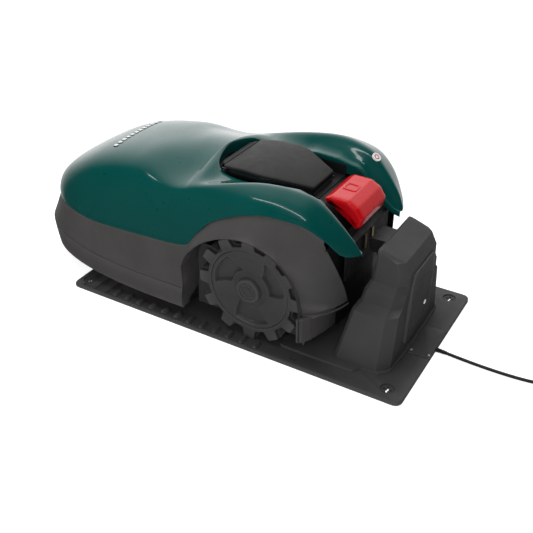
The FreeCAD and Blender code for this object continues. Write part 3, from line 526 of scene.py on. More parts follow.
def area_light(name, place, aim_height, size, power, glossy):
    data = bpy.data.lights.new(name, "AREA")
    data.energy = power
    data.shape = "RECTANGLE"
    data.size, data.size_y = size
    made = link(bpy.data.objects.new(name, data))
    made.location = place
    aim = Vector((0.0, 0.0, aim_height)) - Vector(place)
    made.rotation_euler = aim.to_track_quat("-Z", "Y").to_euler()
    made.visible_glossy = glossy


def studio_world():
    """Pale room to the camera; the gloss shows a dark room with a pale backdrop on one side."""
    world = bpy.data.worlds.new("studio")
    bpy.context.scene.world = world
    world.use_nodes = True
    tree = world.node_tree
    toward = tree.nodes.new("ShaderNodeVectorMath")
    toward.operation = "DOT_PRODUCT"
    toward.inputs[1].default_value = BACKDROP_SIDE
    tree.links.new(tree.nodes.new("ShaderNodeTexCoord").outputs["Generated"], toward.inputs[0])
    sky = ramp(tree, toward.outputs["Value"], ROOM_DARK, ROOM_PALE, BACKDROP_FROM, BACKDROP_TO)
    to_camera = tree.nodes.new("ShaderNodeLightPath").outputs["Is Camera Ray"]
    background = tree.nodes["Background"]
    background.inputs["Strength"].default_value = 1.0
    tree.links.new(mix_to(tree, to_camera, sky, ROOM_PALE), background.inputs["Color"])


stage_floor()
studio_world()
for light in LIGHTS:
    area_light(*light)
bpy.context.scene.view_settings.view_transform = "Standard"


# --- body shape, in millimetres ---

COVER_NOSE = -408.0
COVER_TAIL = 316.0
COVER_END = 305.0
COVER_HALF = 165.0
SKIRT_NOSE = -434.5
SKIRT_HALF = 175.0
SIDE_FROM, SIDE_TO = -30, 100
NOSE_POWER = 2.5
EASE_WEIGHTS = (1, 2, 3, 4, 3, 2, 1)
BAY_FRONT = -16.0
WHEEL_X, WHEEL_Z = 122.5, 114.3

# Along X: heights of the cover's seam and crown, its haunches' crest, and the control bay's rim.
seam_z = curve([(-408, 144), (-330, 147), (-263, 149), (-208, 154), (-112, 163), (-28, 169), (-5, 175),
                (19, 205), (55, 241), (93, 261), (129, 275), (177, 284), (199, 284), (225, 280), (243, 271),
                (262, 256), (276, 239), (286, 225), (296, 217), (305, 213)])
top_z = curve([(-408, 146), (-400, 172), (-388, 194), (-373, 210), (-333, 240), (-253, 280), (-200, 293),
               (-150, 300), (-100, 305), (-53, 309), (20, 310), (120, 300), (200, 288), (260, 270),
               (305, 230)])
crest_y = curve([(-88, 142), (-30, 140), (0, 136), (67, 128), (115, 121), (172, 117), (200, 112), (232, 106),
                 (260, 101), (286, 98), (305, 93)])
crest_z = curve([(-88, 256), (-30, 272), (10, 284), (38, 292), (67, 300), (115, 311), (145, 315), (172, 316),
                 (190, 314), (232, 304), (258, 279), (273, 264), (286, 249), (296, 235), (305, 217)])
rim_y = curve([(-16, 0.5), (-15.2, 10), (-14, 17), (-10, 34), (-4, 52), (2, 64), (12, 73), (24, 78), (60, 84),
               (100, 84), (140, 79), (187, 74), (205, 73), (250, 73), (280, 77), (305, 84)])
rim_z = curve([(-16, 310), (-10, 307), (0, 302), (12, 295), (24, 290), (60, 288), (100, 289), (137, 294.5),
               (176, 295), (190, 292), (205, 288.5), (219, 286), (245, 261), (273, 237), (297, 215.5),
               (305, 212.5)])


def eased(shape, last, reach=22.0):
    """The same function with its curvature evened out, so that reflections run smoothly."""
    def value(x):
        width = max(0.0, min(reach, last - x))
        shares = [w * shape(x + width * (i - 3) / 3) for i, w in enumerate(EASE_WEIGHTS)]
        return sum(shares) / sum(EASE_WEIGHTS)
    return value


crest_y = eased(crest_y, COVER_END)
crest_z = eased(crest_z, COVER_END)


def shoulder(share, power):
    """Share of the full width left at a share of the way from the straight side to an end."""
    return max(0.0, 1 - min(1.0, max(0.0, share)) ** power) ** (1 / 3)


def cover_half(x):
    """Half width of the cover at x: full from SIDE_FROM to SIDE_TO and rounded off towards both ends."""
    if x < SIDE_FROM:
        return COVER_HALF * shoulder((SIDE_FROM - x) / (SIDE_FROM - COVER_NOSE), NOSE_POWER)
    return COVER_HALF * shoulder((x - SIDE_TO) / (COVER_TAIL - SIDE_TO), 4.5)


def spline(poles, steps):
    """Points on the clamped cubic B-spline with these control points."""
    spans = len(poles) - 3
    knots = [0] * 4 + list(range(1, spans)) + [spans] * 4
    out = []
    for j in range(steps + 1):
        t = min(spans * j / steps, spans - 1e-9)
        i = 3 + int(t)
        local = [list(poles[q]) for q in range(i - 3, i + 1)]
        for r in range(1, 4):
            for q in range(3, r - 1, -1):
                low = knots[q + i - 3]
                a = (t - low) / (knots[q + 1 + i - r] - low)
                local[q] = [(1 - a) * u + a * v for u, v in zip(local[q - 1], local[q])]
        out.append(tuple(local[3]))
    return out


def cover_section(x, steps=30):
    """Half section (y, z) of the upper body at x, from its seam to its crown or its rim round the bay."""
    half = cover_half(x)
    foot = seam_z(x)
    crown = top_z(x)
    rise = crown - foot
    dome = [(half, foot), (1.015 * half, foot + 0.20 * rise), (0.985 * half, foot + 0.47 * rise),
            (0.86 * half, foot + 0.76 * rise), (0.70 * half, foot + 0.905 * rise),
            (0.48 * half, foot + 0.975 * rise), (0.24 * half, crown), (0.0, crown)]
    blend = smooth(-150, -20, x)
    if blend <= 0:
        return spline(dome, steps)
    crest = crest_y(x)
    ridge = crest_z(x)
    rim = rim_y(x) if x > BAY_FRONT else 0.0
    lip = rim_z(x) if x > BAY_FRONT else crown
    rise = ridge - foot
    haunch = [(half, foot), (half + 1.5, foot + 0.25 * rise),
              (half - 0.15 * (half - crest), foot + 0.62 * rise),
              (crest + 0.38 * (half - crest), foot + 0.95 * rise), (crest, ridge + 5),
              (crest - 0.30 * (crest - rim), ridge - 1 - 0.35 * (ridge - lip)),
              (rim + 0.28 * (crest - rim), lip - 1), (rim, lip)]
    mixed = [(a[0] + (b[0] - a[0]) * blend, a[1] + (b[1] - a[1]) * blend) for a, b in zip(dome, haunch)]
    return spline(mixed, steps)


def cover_height(x, y):
    line = cover_section(x, 60)
    for a, b in zip(line[8:], line[9:]):
        if a[0] >= abs(y) >= b[0]:
            t = (a[0] - abs(y)) / max(1e-6, a[0] - b[0])
            return a[1] + (b[1] - a[1]) * t
    return line[-1][1]


def cover_normal(x, y, step=3.0):
    along = Vector((2 * step, 0, cover_height(x + step, y) - cover_height(x - step, y)))
    across = Vector((0, 2 * step, cover_height(x, y + step) - cover_height(x, y - step)))
    return along.cross(across).normalized()


NOSE_STATIONS, NOSE_REACH = 29, 378
STATION_STEP, REAR_STEP = 5.5, 4.5
BAY_STEPS = (0, 0.25, 0.6, 1.1, 1.8, 2.8, 4.2, 6, 8.2, 10.8, 13.6, 16.6, 19.8, 23.4, 27.2)


def cover_stations():
    """Places along X where the cover's section is worked out, closest at the nose and the bay's front."""
    nose = [COVER_NOSE + 0.02 + NOSE_REACH * (i / 56) ** 3 for i in range(NOSE_STATIONS)]
    body = [nose[-1] + STATION_STEP * i for i in range(1, 62)]
    bay = [BAY_FRONT + step for step in BAY_STEPS]
    rear = [15 + REAR_STEP * i for i in range(64)]
    return nose + [x for x in body if x < BAY_FRONT - 1] + bay + rear + [301.5, 304.0, COVER_END]


def toward_middle(x, y, amount):
    """Plan point moved by amount towards the body's spine."""
    spine = min(180.0, max(-240.0, x))
    dx, dy = spine - x, -y
    size = math.hypot(dx, dy) or 1.0
    return x + dx / size * amount, y + dy / size * amount


SEAM_ROLL = ((4.0, 9.0), (3.4, 1.5), (2.2, 0.0), (0.7, 0.1))
LIP_ROLL = ((1.3, 0.5), (2.3, 1.6), (2.8, 3.4), (2.9, 6.0))
LIP_WIDTH = 2.9
TAIL_TIP = (307.0, 212.0)


def cover_row(x):
    """Half section of the cover at x, from the inner edge of its rolled seam."""
    flare = 4.4 * smooth(-6, 40, x) * (1 - smooth(205, 262, x))
    foot = seam_z(x)
    line = [(x, y + flare * (1 - smooth(0.5, 12.0, z - foot)), z) for y, z in cover_section(x)]
    x0, y0, z0 = line[0]
    under = []
    for amount, lift in SEAM_ROLL:
        px, py = toward_middle(x0, y0, amount)
        under.append((px, max(0.0, py), z0 + lift))
    return under + [(x0, y0, z0 + 0.8)] + line[1:]


def bay_lip(rim):
    """Rows that turn down from the bay's rim, each square to it."""
    rows = []
    for i, (x, y, z) in enumerate(rim):
        ax, ay, _ = rim[max(0, i - 1)]
        bx, by, _ = rim[min(len(rim) - 1, i + 1)]
        dx, dy = (bx - ax, by - ay) if i else (0.0, 1.0)
        size = math.hypot(dx, dy) or 1.0
        nx, ny = dy / size, -dx / size
        depth = 22.0 - 12.0 * smooth(215, 300, x)
        rows.append([(x, y, z)] + [(x + nx * a, max(0.0, y + ny * a), z - d)
                                   for a, d in LIP_ROLL + ((LIP_WIDTH, depth),)])
    return rows


def top_cover():
    """Glossy upper shell: rolled under at its seam and turned down round the control bay."""
    stations = cover_stations()
    rows = [cover_row(x) for x in stations]
    rim = [row[-1] for x, row in zip(stations, rows) if x >= BAY_FRONT]
    points, faces = joined(sheet(rows), sheet(bay_lip(rim)))
    last = rows[-1]
    base = (len(rows) - 1) * len(last)
    points.append((TAIL_TIP[0], (last[0][1] + last[-1][1]) / 2, TAIL_TIP[1]))
    faces += [(base + j, base + j + 1, len(points) - 1) for j in range(len(last) - 1)]
    return both_sides((points, faces))


piece("top_shell", top_cover(), "cover_green", "shell", ["top_cover"], sharp=50, merge=0.06)

# Lower shell: the tail's X by height, heights of the fender's flare and of the crease along X, and the half
# width of the tail's inner edge by height.
tail_of = curve([(60, 288), (100, 292), (154, 297.5), (190, 301), (232, 312), (290, 314)])
flare_z = curve([(-434, 92), (-300, 84), (-200, 81), (-40, 84), (-15, 118), (10, 170), (40, 207), (70, 230),
                 (97, 244), (133, 251), (168, 249), (200, 240), (235, 220), (258, 196), (275, 165),
                 (300, 120)])
crease_of = curve([(-434, 95), (-380, 91), (-300, 86), (-200, 83), (-100, 83), (-40, 84), (300, 84)])
end_y = curve([(100, 84), (154, 108), (190, 124), (232, 143), (250, 147)])


def outline_point(t, nose, tail, half):
    """Plan point of the body's outline: t from 0 at the nose over 1 and 2 along the side to 3 at the tail."""
    if t <= 1:
        u = 1 - t ** 3
        x = SIDE_FROM + (nose - SIDE_FROM) * u
        return x, half * shoulder(u, NOSE_POWER)
    if t <= 2:
        return SIDE_FROM + (SIDE_TO - SIDE_FROM) * (t - 1), half
    u = 1 - (3 - t) ** 3
    return SIDE_TO + (tail - SIDE_TO) * u, half * shoulder(u, 4.2)


BAND_SHARES = (0.97, 0.9, 0.8, 0.7, 0.6, 0.5, 0.4, 0.3, 0.2, 0.1, 0.03)
LOW_SHARES = (0.25, 0.5, 0.75, 0.95)
SKIRT_LEVELS = ([("tuck", 4.0, 5.0), ("tuck", 1.6, 1.2), ("top", 0.0, -0.6)]
                + [("band", share, 0) for share in BAND_SHARES]
                + [("step", 0.2, 1.6), ("step", 1.4, 0.8), ("step", 1.6, -0.6), ("step", 0.1, -2.0)]
                + [("low", share, 0) for share in LOW_SHARES]
                + [("rim", 1.2, 0.8), ("rim", 4.0, 0.0), ("rim", 5.0, 4.0)])
SKIRT_BOTTOM = 36.0


def skirt_point(t, kind, a, b):
    """Point of the lower shell at t along its outline, on one of SKIRT_LEVELS."""
    seam_x, seam_y = outline_point(t, COVER_NOSE - 2, COVER_TAIL, COVER_HALF + 1.5)
    seam = seam_z(seam_x)
    crease = crease_of(seam_x)
    if kind in ("tuck", "top"):
        x, y = toward_middle(seam_x, seam_y, a)
        return x, y, seam + b
    if kind == "band":
        z = crease + (seam - crease) * a
        knee = max(crease, flare_z(seam_x))
        lean = min(1.0, max(0.0, z - knee) / max(4.0, seam - knee)) ** 1.4
        nose = SKIRT_NOSE + (COVER_NOSE - 2 - SKIRT_NOSE) * a ** 1.2
        hollow = 1.6 * math.sin(math.pi * a) * (1 - smooth(-60, 0, seam_x))
        half = SKIRT_HALF - 0.6 - 8.4 * lean - hollow
        x, y = outline_point(t, nose + hollow, tail_of(z), half)
        return x, y, z
    if kind == "step":
        z = crease + b
        x, y = outline_point(t, SKIRT_NOSE + a, tail_of(z), SKIRT_HALF - a)
        return x, y, z
    if kind == "low":
        z = crease - 2.5 + (SKIRT_BOTTOM - crease + 2.5) * a
        x, y = outline_point(t, SKIRT_NOSE + 8.0 * a ** 1.5, tail_of(z), SKIRT_HALF - 2.0 * a)
        return x, y, z
    x, y = outline_point(t, -426.0 + a, tail_of(40) - a, SKIRT_HALF - 2.2 - a)
    return x, y, SKIRT_BOTTOM + b - 1.0


def side_points():
    """Values of t along the outline, close together where it turns quickly."""
    nose = [i / 46 for i in range(46)]
    side = [1 + i / 44 for i in range(44)]
    tail = [2 + i / 60 for i in range(61)]
    return nose + side + tail


def rear_limit(kind, a, b):
    """Value of t where a level of the lower shell meets the tail's inner edge."""
    low, high = 2.0, 3.0
    for _ in range(30):
        middle = (low + high) / 2
        x, y, z = skirt_point(middle, kind, a, b)
        past = y < end_y(z) if z > 99 else x > 236.0
        low, high = (low, middle) if past else (middle, high)
    return low


def lower_skirt():
    """Outer skin of the lower body on the +Y side, cut off at its rear edge."""
    limits = [rear_limit(*level) for level in SKIRT_LEVELS]
    return sheet([[skirt_point(t if t <= 2 else 2 + (t - 2) * (limit - 2), *level)
                   for level, limit in zip(SKIRT_LEVELS, limits)] for t in side_points()])


ARCH_RADIUS = 110.0
ARCH_FRONT = -16.0
ARCH_CUTS = ((120.0, 200.0), (-200.0, -120.0))
SKIRT_SHARP = 38


def arch_outline(low=20.0, rear_lift=0.0):
    """Opening of the wheel arch in the side view, as (x, z)."""
    out = [(ARCH_FRONT, low), (ARCH_FRONT + 1, 60.0), (ARCH_FRONT + 5, 92.0)]
    for i in range(25):
        degrees = 172 - 172 * i / 24
        angle = math.radians(degrees)
        wide = ARCH_RADIUS + 26.0 * smooth(95, 172, degrees)
        tall = ARCH_RADIUS + 4 * smooth(95, 150, degrees)
        out.append((WHEEL_X + wide * math.cos(angle), WHEEL_Z + tall * math.sin(angle)))
    out += [(WHEEL_X + ARCH_RADIUS + 1.5, 80.0), (WHEEL_X + ARCH_RADIUS + 2, low + rear_lift)]
    return out


skirt = piece("lower_shell", both_sides(lower_skirt()), "shell_grey", "shell", ["lower_skirt"],
              sharp=SKIRT_SHARP, merge=0.05)
face_outward(skirt)
for sides in ARCH_CUTS:
    cut(skirt, loft([[(x, y, z) for x, z in arch_outline()] for y in sides]))
smooth_over(skirt, SKIRT_SHARP)

LINER_LINES = ((0.6, 175.2), (0.0, 174.6), (0.0, 172.0), (0.1, 150.0), (0.2, 128.0), (0.2, 108.0),
               (3.0, 107.0), (3.2, 130.0))
WELL_DARK_Y = 140.0


def arch_liner():
    """Wheel well: a rounded lip at the fender's edge and a wall that runs in behind the wheel."""
    outline = arch_outline(36.0, 12.0)
    return sheet([[(x, y, z) for x, z in inset(outline, -grow)] for grow, y in LINER_LINES])


liner = piece("wheel_wells", both_sides(arch_liner()), "shell_grey", "shell", sharp=40)
liner.data.materials.append(FINISH["bay_black"])
for face in liner.data.polygons:
    if abs(face.center.y) < WELL_DARK_Y * MM:
        face.material_index = 1


def tail_block():
    """Inset lower corner of the tail under the fender's rear crease."""
    corners = [(229, 174.4), (229, 128), (250, 84), (264, 84), (260, 112), (254, 134), (247, 154), (238, 169)]
    outline = rounded(corners, [1, 2, 2, 4, 14, 12, 10, 8], 5)
    return block(outline, ((47, 4.0), (48.2, 1.8), (51, 0.3), (70, 0.0), (97.5, 0.0), (99.4, -0.4),
                           (100.8, 1.2), (102.0, 3.0)))


piece("tail_corners", both_sides(tail_block()), "shell_grey", "shell", sharp=38)

BEAD_FRONT, BEAD_INNER = 233, 82
BEAD_LINES = ((104.5, -0.2), (103.4, 0.9), (102.4, 0.3), (101.4, 1.1), (100.2, 0.6), (99.6, -1.2))


def tail_crease():
    """Double bead along the fender's rear crease."""
    rows = []
    for i in range(40):
        line = []
        for z, out in BEAD_LINES:
            x, y = outline_point(2 + i / 39, SKIRT_NOSE, tail_of(z) + out, SKIRT_HALF - 0.6 + out)
            line.append((x, y, z))
        if line[0][0] > BEAD_FRONT and line[0][1] > BEAD_INNER:
            rows.append(line)
    return sheet(rows)


piece("tail_beads", both_sides(tail_crease()), "shell_grey", "shell", sharp=40)

TAIL_WALL_X = 268.0


def tail_wall():
    """Black inner wall behind the fenders and under the cover's tips."""
    rows = []
    for z in (44, 60, 98, 100, 120, 150, 180, 205, 222, 240):
        edge = end_y(max(100, z)) + 3.0 if z > 99 else 84.0
        middle_x = TAIL_WALL_X + 3.0 * (z - 100) / 140
        across = [edge * (1 - i / 12) for i in range(13)]
        rows.append([(middle_x - 4.0 * smooth(60, 90, y), y, z) for y in across])
    return sheet(rows)


piece("tail_wall", both_sides(tail_wall()), "bay_black", "shell", sharp=40, merge=0.05)


# --- trim, badge, lid, stop button ---

TRIM_X = -232.0
TRIM_BARS = 12
TRIM_PITCH = 12.6
BADGE_PLACE = (240.0, 108.0)


def on_cover(x, y, part):
    """A part drawn flat round the origin, moved onto the cover's skin at (x, y)."""
    points, faces = part
    up = cover_normal(x, y)
    along = Vector((1, 0, 0)) - up * up.x
    along.normalize()
    across = up.cross(along)
    origin = Vector((x, y, cover_height(x, y)))
    return [tuple(origin + along * a + across * b + up * c) for a, b, c in points], faces


def name_trim():
    """Row of plain bright bars let into the nose."""
    outline = rounded([(-5.2, -4.3), (5.2, -4.3), (5.2, 4.3), (-5.2, 4.3)], 1.6, 3)
    bar = block(outline, ((-1.5, 0.0), (0.9, 0.0), (1.5, 0.6), (1.6, 1.5)))
    places = [TRIM_PITCH * (i - (TRIM_BARS - 1) / 2) for i in range(TRIM_BARS)]
    return joined(*(on_cover(TRIM_X, y, bar) for y in places))


def badge_disc(profile, steps):
    return on_cover(*BADGE_PLACE, loft(revolved(profile, (0, 0, 0), (0, 0, 1), steps)))


piece("nose_trim", name_trim(), "trim_chrome", "shell", ["name_trim"], sharp=30)
badge_profile = [(-2.0, 9.0), (0.6, 9.0), (1.1, 8.5), (1.2, 7.7), (0.8, 7.3), (0.75, 5.2)]
piece("haunch_badge", badge_disc(badge_profile, 40), "badge_white", "shell", ["side_badge"], sharp=30)
ring_profile = [(0.5, 5.4), (0.95, 5.3), (1.05, 4.9), (1.05, 3.4), (0.7, 3.2)]
piece("haunch_badge_ring", badge_disc(ring_profile, 32), "badge_red", "shell", sharp=30)

LID_CROWN_X, LID_CROWN_Z = 75.0, 307.5
LID_SIDE = [(16, 64), (20.5, 69), (60, 73), (97, 75), (122, 69.5), (187, 39)]
LID_RADII = [3, 6, 60, 14, 20, 5]
LID_THICKNESS = 5.0
lid_plan = rounded(mirrored_corners(LID_SIDE), LID_RADII + LID_RADII[::-1], 6)


def lid_top(x, y=0.0):
    """Height of the lid's crown at (x, y)."""
    return LID_CROWN_Z - (x - LID_CROWN_X) ** 2 / 600.0 - 3.4 * (y / 73.0) ** 2


def lid_ring(outline, depth, amount):
    """Outline moved inward by amount, that far below the lid's crown."""
    return [(x, y, lid_top(x, y) - depth) for x, y in inset(outline, amount)]


def crown_skin(levels, rings_in=10):
    """Skin under the lid's crown, closed in the middle of its last level; levels are (depth, inset) pairs."""
    rings = [lid_ring(lid_plan, *level) for level in levels]
    depth, amount = levels[-1]
    edge = inset(lid_plan, amount)
    middle_x = sum(p[0] for p in edge) / len(edge)
    for i in range(1, rings_in):
        share = 1 - i / rings_in
        spots = [(middle_x + (x - middle_x) * share, y * share) for x, y in edge]
        rings.append([(x, y, lid_top(x, y) - depth) for x, y in spots])
    points, faces = tube(rings)
    count = len(lid_plan)
    last = (len(rings) - 1) * count
    plan_x = sum(p[0] for p in lid_plan) / count
    points.append((plan_x, 0.0, lid_top(plan_x) - depth))
    faces += [(last + j, last + (j + 1) % count, len(points) - 1) for j in range(count)]
    return points, faces


def lid_shell():
    top = crown_skin([(LID_THICKNESS, 4.0), (LID_THICKNESS, 0.8), (4.2, 0.1), (2.4, 0.0), (1.2, 0.25),
                      (0.4, 0.9), (0.0, 2.2)])
    return joined(top, crown_skin([(LID_THICKNESS, 4.0)]))


def lid_skirt():
    """Glossy side of the lid, open in the middle."""
    levels = [(5.1, 4.4), (5.1, 1.6), (6.2, 0.9), (14.0, 0.9), (19.0, 1.4), (20.0, 2.2), (20.0, 3.6),
              (5.1, 4.4)]
    return tube([lid_ring(lid_plan, *level) for level in levels])


def lid_strip():
    """Narrow panel in front of the lid that covers its hinge."""
    outline = rounded([(2.0, 48), (14.2, 61), (14.2, -61), (2.0, -48)], [5, 3, 3, 5], 5)
    levels = [(5.0, 0.6), (1.8, 0.0), (1.2, 0.3), (0.8, 1.2), (0.75, 2.4)]
    return loft([lid_ring(outline, *level) for level in levels])


piece("lid_top", lid_shell(), "lid_grey", "lid", ["lid_panel"], sharp=40, merge=0.05)
piece("lid_edge", lid_skirt(), "lid_black", "lid", ["lid_frame"], sharp=40)
piece("lid_strip", lid_strip(), "lid_grey", "lid", sharp=40)

STOP_HALF = 53.5
STOP_PROFILE = rounded([(212, 277), (225, 284), (258, 283), (276, 273), (288, 255), (284, 238), (275, 232)],
                       [2.5, 6, 9, 12, 8, 5, 5], 6)
STOP_ENDS = ((0.0, 7.5), (0.25, 5.6), (0.9, 3.8), (2.0, 2.2), (3.6, 1.0), (5.6, 0.25), (8.0, 0.0))


def stop_button():
    """Broad button with a rolled edge round its ends, and the stem that it presses with."""
    rings = []
    for depth, amount in STOP_ENDS:
        rings.append([(x, -STOP_HALF + depth, z) for x, z in inset(STOP_PROFILE, amount)])
    for i in range(1, 12):
        y = (-STOP_HALF + STOP_ENDS[-1][0]) * (1 - i / 6)
        dip = 1.4 * smooth(26, 44, abs(y))
        rings.append([(x, y, z - (1.4 - dip) * 0.35 * smooth(276, 283, z)) for x, z in STOP_PROFILE])
    for depth, amount in reversed(STOP_ENDS):
        rings.append([(x, STOP_HALF - depth, z) for x, z in inset(STOP_PROFILE, amount)])
    stem = loft(revolved([(0, 5.6), (0.8, 6.0), (30, 6.0)], (240, 0, 231), (0, 0, 1), 32))
    return joined(loft(rings), stem)


def square(half, radius):
    return rounded([(-half, -half), (half, -half), (half, half), (-half, half)], radius, 5)


def stop_symbol():
    """Plain square outline embossed on the stop button's top."""
    outer = square(13, 4)
    inner = square(9.5, 2.5)
    levels = ((outer, -0.6), (outer, 0.5), (inset(outer, 0.5), 0.85), (inset(inner, -0.5), 0.85),
              (inner, 0.5), (inner, -0.6))
    return tube([[(241.5 + a, b, 283.35 - 0.030 * a + height) for a, b in ring] for ring, height in levels])


piece("stop_cap", stop_button(), "stop_red", "stop", ["stop_button"], sharp=50)
piece("stop_symbol", stop_symbol(), "stop_red", "stop", sharp=40)


# --- drive wheels ---

WHEEL_TIP = 106.0
LUGS = 12
TYRE_INSIDE = 80.0
DISC_RADIUS = 79.2
DISC_STEPS = 240
HUB_SHIFT = 0.5
WINDOW_ANGLES = (150.0, 30.0, 270.0)
WINDOW_DEPTH = 7.5


def on_wheel(radius, angle, y):
    return WHEEL_X + radius * math.cos(angle), y, WHEEL_Z + radius * math.sin(angle)


def lug_ring(root, base_half, tip_half, y, trim=0.0):
    """Tread outline with one lug at the bottom. Half widths are in degrees."""
    rise = [(-base_half - 1.2, root), (-base_half, root + 1.4), (-tip_half - 0.3, WHEEL_TIP - 2.4),
            (-tip_half + 0.9, WHEEL_TIP)]
    fall = [(-offset, radius) for offset, radius in reversed(rise)]
    ring = []
    for i in range(LUGS):
        for offset, radius in [(-15, root)] + rise + [(0, WHEEL_TIP)] + fall:
            ring.append(on_wheel(radius - trim, math.radians(-90 + 30 * i + offset), y))
    return ring


def round_ring(radius, y, like):
    """Circle whose points stand at the same angles as those of another ring."""
    return [on_wheel(radius, math.atan2(z - WHEEL_Z, x - WHEEL_X), y) for x, _, z in like]


def outer_lugs(y, trim=0.0):
    return lug_ring(87.5, 8.6, 6.1, y, trim)


def inner_lugs(y, trim=0.0):
    return lug_ring(90.5, 10.9, 8.0, y, trim)


def tyre():
    like = outer_lugs(0)
    wall = [round_ring(radius, y, like) for radius, y in
            ((TYRE_INSIDE, 118), (TYRE_INSIDE, 156.4), (80.8, 157.8), (82.0, 158.2), (85.4, 158.2))]
    tread = [outer_lugs(158.2, 1.1), outer_lugs(157.1), outer_lugs(151.2), inner_lugs(150.4, 0.6),
             inner_lugs(149.8), inner_lugs(115.4), inner_lugs(114.0, 1.4)]
    return tube(wall + tread + [round_ring(84.0, 114.0, like), round_ring(TYRE_INSIDE, 118, like)])


def wheel_face(radius, angle):
    """Height of the disc's face above the wheel's inner plane: dish, hub and three windows."""
    dish = 156.6 - 5.5 * smooth(76, 40, radius) + 3.0 * smooth(36, 28, radius)
    twist = math.degrees(angle) + (58.0 - radius) * 0.35
    nearest = min(abs((twist - middle + 180) % 360 - 180) for middle in WINDOW_ANGLES)
    along = 1 - smooth(26.5, 30.5, nearest)
    across = smooth(37.5, 41.5, radius) * (1 - smooth(70.0, 73.5, radius))
    return dish - WINDOW_DEPTH * along * across


def wheel_disc():
    """Dished front with three windows and a plain back that meets it at the rim."""
    radii = [DISC_RADIUS, DISC_RADIUS, 78.4] + [77.4 - 0.95 * i for i in range(54)] + [25.0]
    rings = []
    for k, radius in enumerate(radii):
        ring = []
        for i in range(DISC_STEPS):
            angle = TAU * i / DISC_STEPS
            height = 130.0 if k == 0 else wheel_face(radius, angle) - (0.8 if k == 1 else 0.0)
            ring.append(on_wheel(radius, angle, height))
        rings.append(ring)
    back = revolved([(114.0, 20.0), (114.0, 76.0), (115.0, DISC_RADIUS), (130.0, DISC_RADIUS)],
                    (WHEEL_X, 0, WHEEL_Z), (0, 1, 0), 96)
    return joined(tube(rings), tube(back))


def hub_cap():
    """Stepped cap with a plain dimple."""
    profile = [(149.0, 27.5), (151.5, 27.3), (152.4, 26.4), (153.0, 25.2), (159.4, 23.6), (160.6, 22.9),
               (161.2, 21.6), (161.3, 18.6), (160.9, 17.8), (160.2, 17.4), (160.1, 14.6), (160.7, 14.2),
               (161.2, 13.4), (161.2, 12.6), (160.4, 11.8), (159.4, 9.0), (158.9, 5.0)]
    return loft(revolved(profile, (WHEEL_X, HUB_SHIFT, WHEEL_Z), (0, 1, 0), 64), False, True)


WHEEL_PARTS = [("tread", tyre(), "tyre_rubber", "tyre", 28),
               ("disc", wheel_disc(), "wheel_grey", "wheel_disc", 35),
               ("hub", hub_cap(), "wheel_grey", "hub_cap", 28)]
for side in ("right", "left"):
    for name, part, finish, stands_for, sharp in WHEEL_PARTS:
        shape = part if side == "right" else flipped(part)
        piece(f"{side}_{name}", shape, finish, f"{side}_wheel", [f"{side}_{stands_for}"], sharp=sharp)


# --- dock ---

PLATE_TOP = 8.0
PLATE_FRONT, PLATE_REAR, PLATE_HALF = -288.0, 434.5, 185.0
PLATE_SHARP = 30
PEG_X = (PLATE_REAR - 34.0, PLATE_FRONT + 22.0)
PEG_Y = 157.0
SLOT_X, SLOT_Y = (217, 229), 170.0
CHANNEL_FRONT, CHANNEL_HALF = 388.6, 47.4
SCREW_X, SCREW_Y = (430, 396), -39
CLEAT_FRONT, CLEAT_PITCH, CLEATS = -187.0, 29.8, 12
GROOVES, GROOVE_Y, GROOVE_HALF, GROOVE_LENGTH = 3, 138.0, 42, 14


def dock_piece(name, part, hides=(), sharp=PLATE_SHARP, bevel=0.0):
    return piece(name, part, "dock_grey", "dock", hides, sharp=sharp, bevel=bevel)


def dock_plate():
    outline = rounded(mirrored_corners([(PLATE_FRONT, PLATE_HALF), (PLATE_REAR, PLATE_HALF)]), 16.0, 8)
    return block(outline, ((0.0, 0.8), (0.8, 0.0), (5.2, 0.0), (6.4, 0.5), (7.5, 1.6), (PLATE_TOP, 3.0)))


def plate_cuts():
    """Cross-shaped peg holes with their countersinks, side slots, the lead's channel and front grooves."""
    parts = []
    for x in PEG_X:
        for y in (-PEG_Y, PEG_Y):
            parts.append(box_part(x - 8, x + 8, y - 2, y + 2, -1, 9))
            parts.append(box_part(x - 2, x + 2, y - 8, y + 8, -1.1, 9.1))
            parts.append(loft(revolved([(0, 12.2), (4, 13.6)], (x, y, 5.6), (0, 0, 1), 40)))
    for y in (-SLOT_Y, SLOT_Y):
        parts.append(box_part(*SLOT_X, y - 3, y + 3, -1, 9))
    parts.append(box_part(CHANNEL_FRONT, PLATE_REAR + 2, -CHANNEL_HALF, CHANNEL_HALF, 6, 12))
    for i in range(GROOVES):
        x0 = CLEAT_FRONT - CLEAT_PITCH * (i + 0.6)
        x1 = x0 + GROOVE_LENGTH
        for y in (-GROOVE_Y, GROOVE_Y):
            y0, y1 = y - GROOVE_HALF, y + GROOVE_HALF
            outline = rounded([(x0, y0), (x1, y0), (x1, y1), (x0, y1)], 4, 4)
            parts.append(block(outline, ((6.0, 1.4), (9.0, -1.0))))
    return parts


plate = dock_piece("dock_base", dock_plate(), ["dock_plate"])
for part in plate_cuts():
    cut(plate, part)
smooth_over(plate, PLATE_SHARP)


def platform():
    """Raised floor between the wheel tracks that carries the tower."""
    side = [(182, 146), (190, 150), (330, 150), (338, 136), (372, 133), (387, 119), (392, 60)]
    outline = rounded(mirrored_corners(side), [4, 10, 8, 8, 12, 12, 6, 6, 12, 12, 8, 8, 10, 4], 5)
    return block(outline, ((7.0, -1.0), (9.0, -0.4), (11.0, 0.2), (11.8, 0.8), (12.0, 1.8)))


dock_piece("dock_platform", platform(), sharp=32)

CLEAT_LEVELS = ((160.0, 1.2), (160.6, 0.3), (161.4, 0.0), (179.6, 0.0), (180.4, 0.3), (181.0, 1.2))


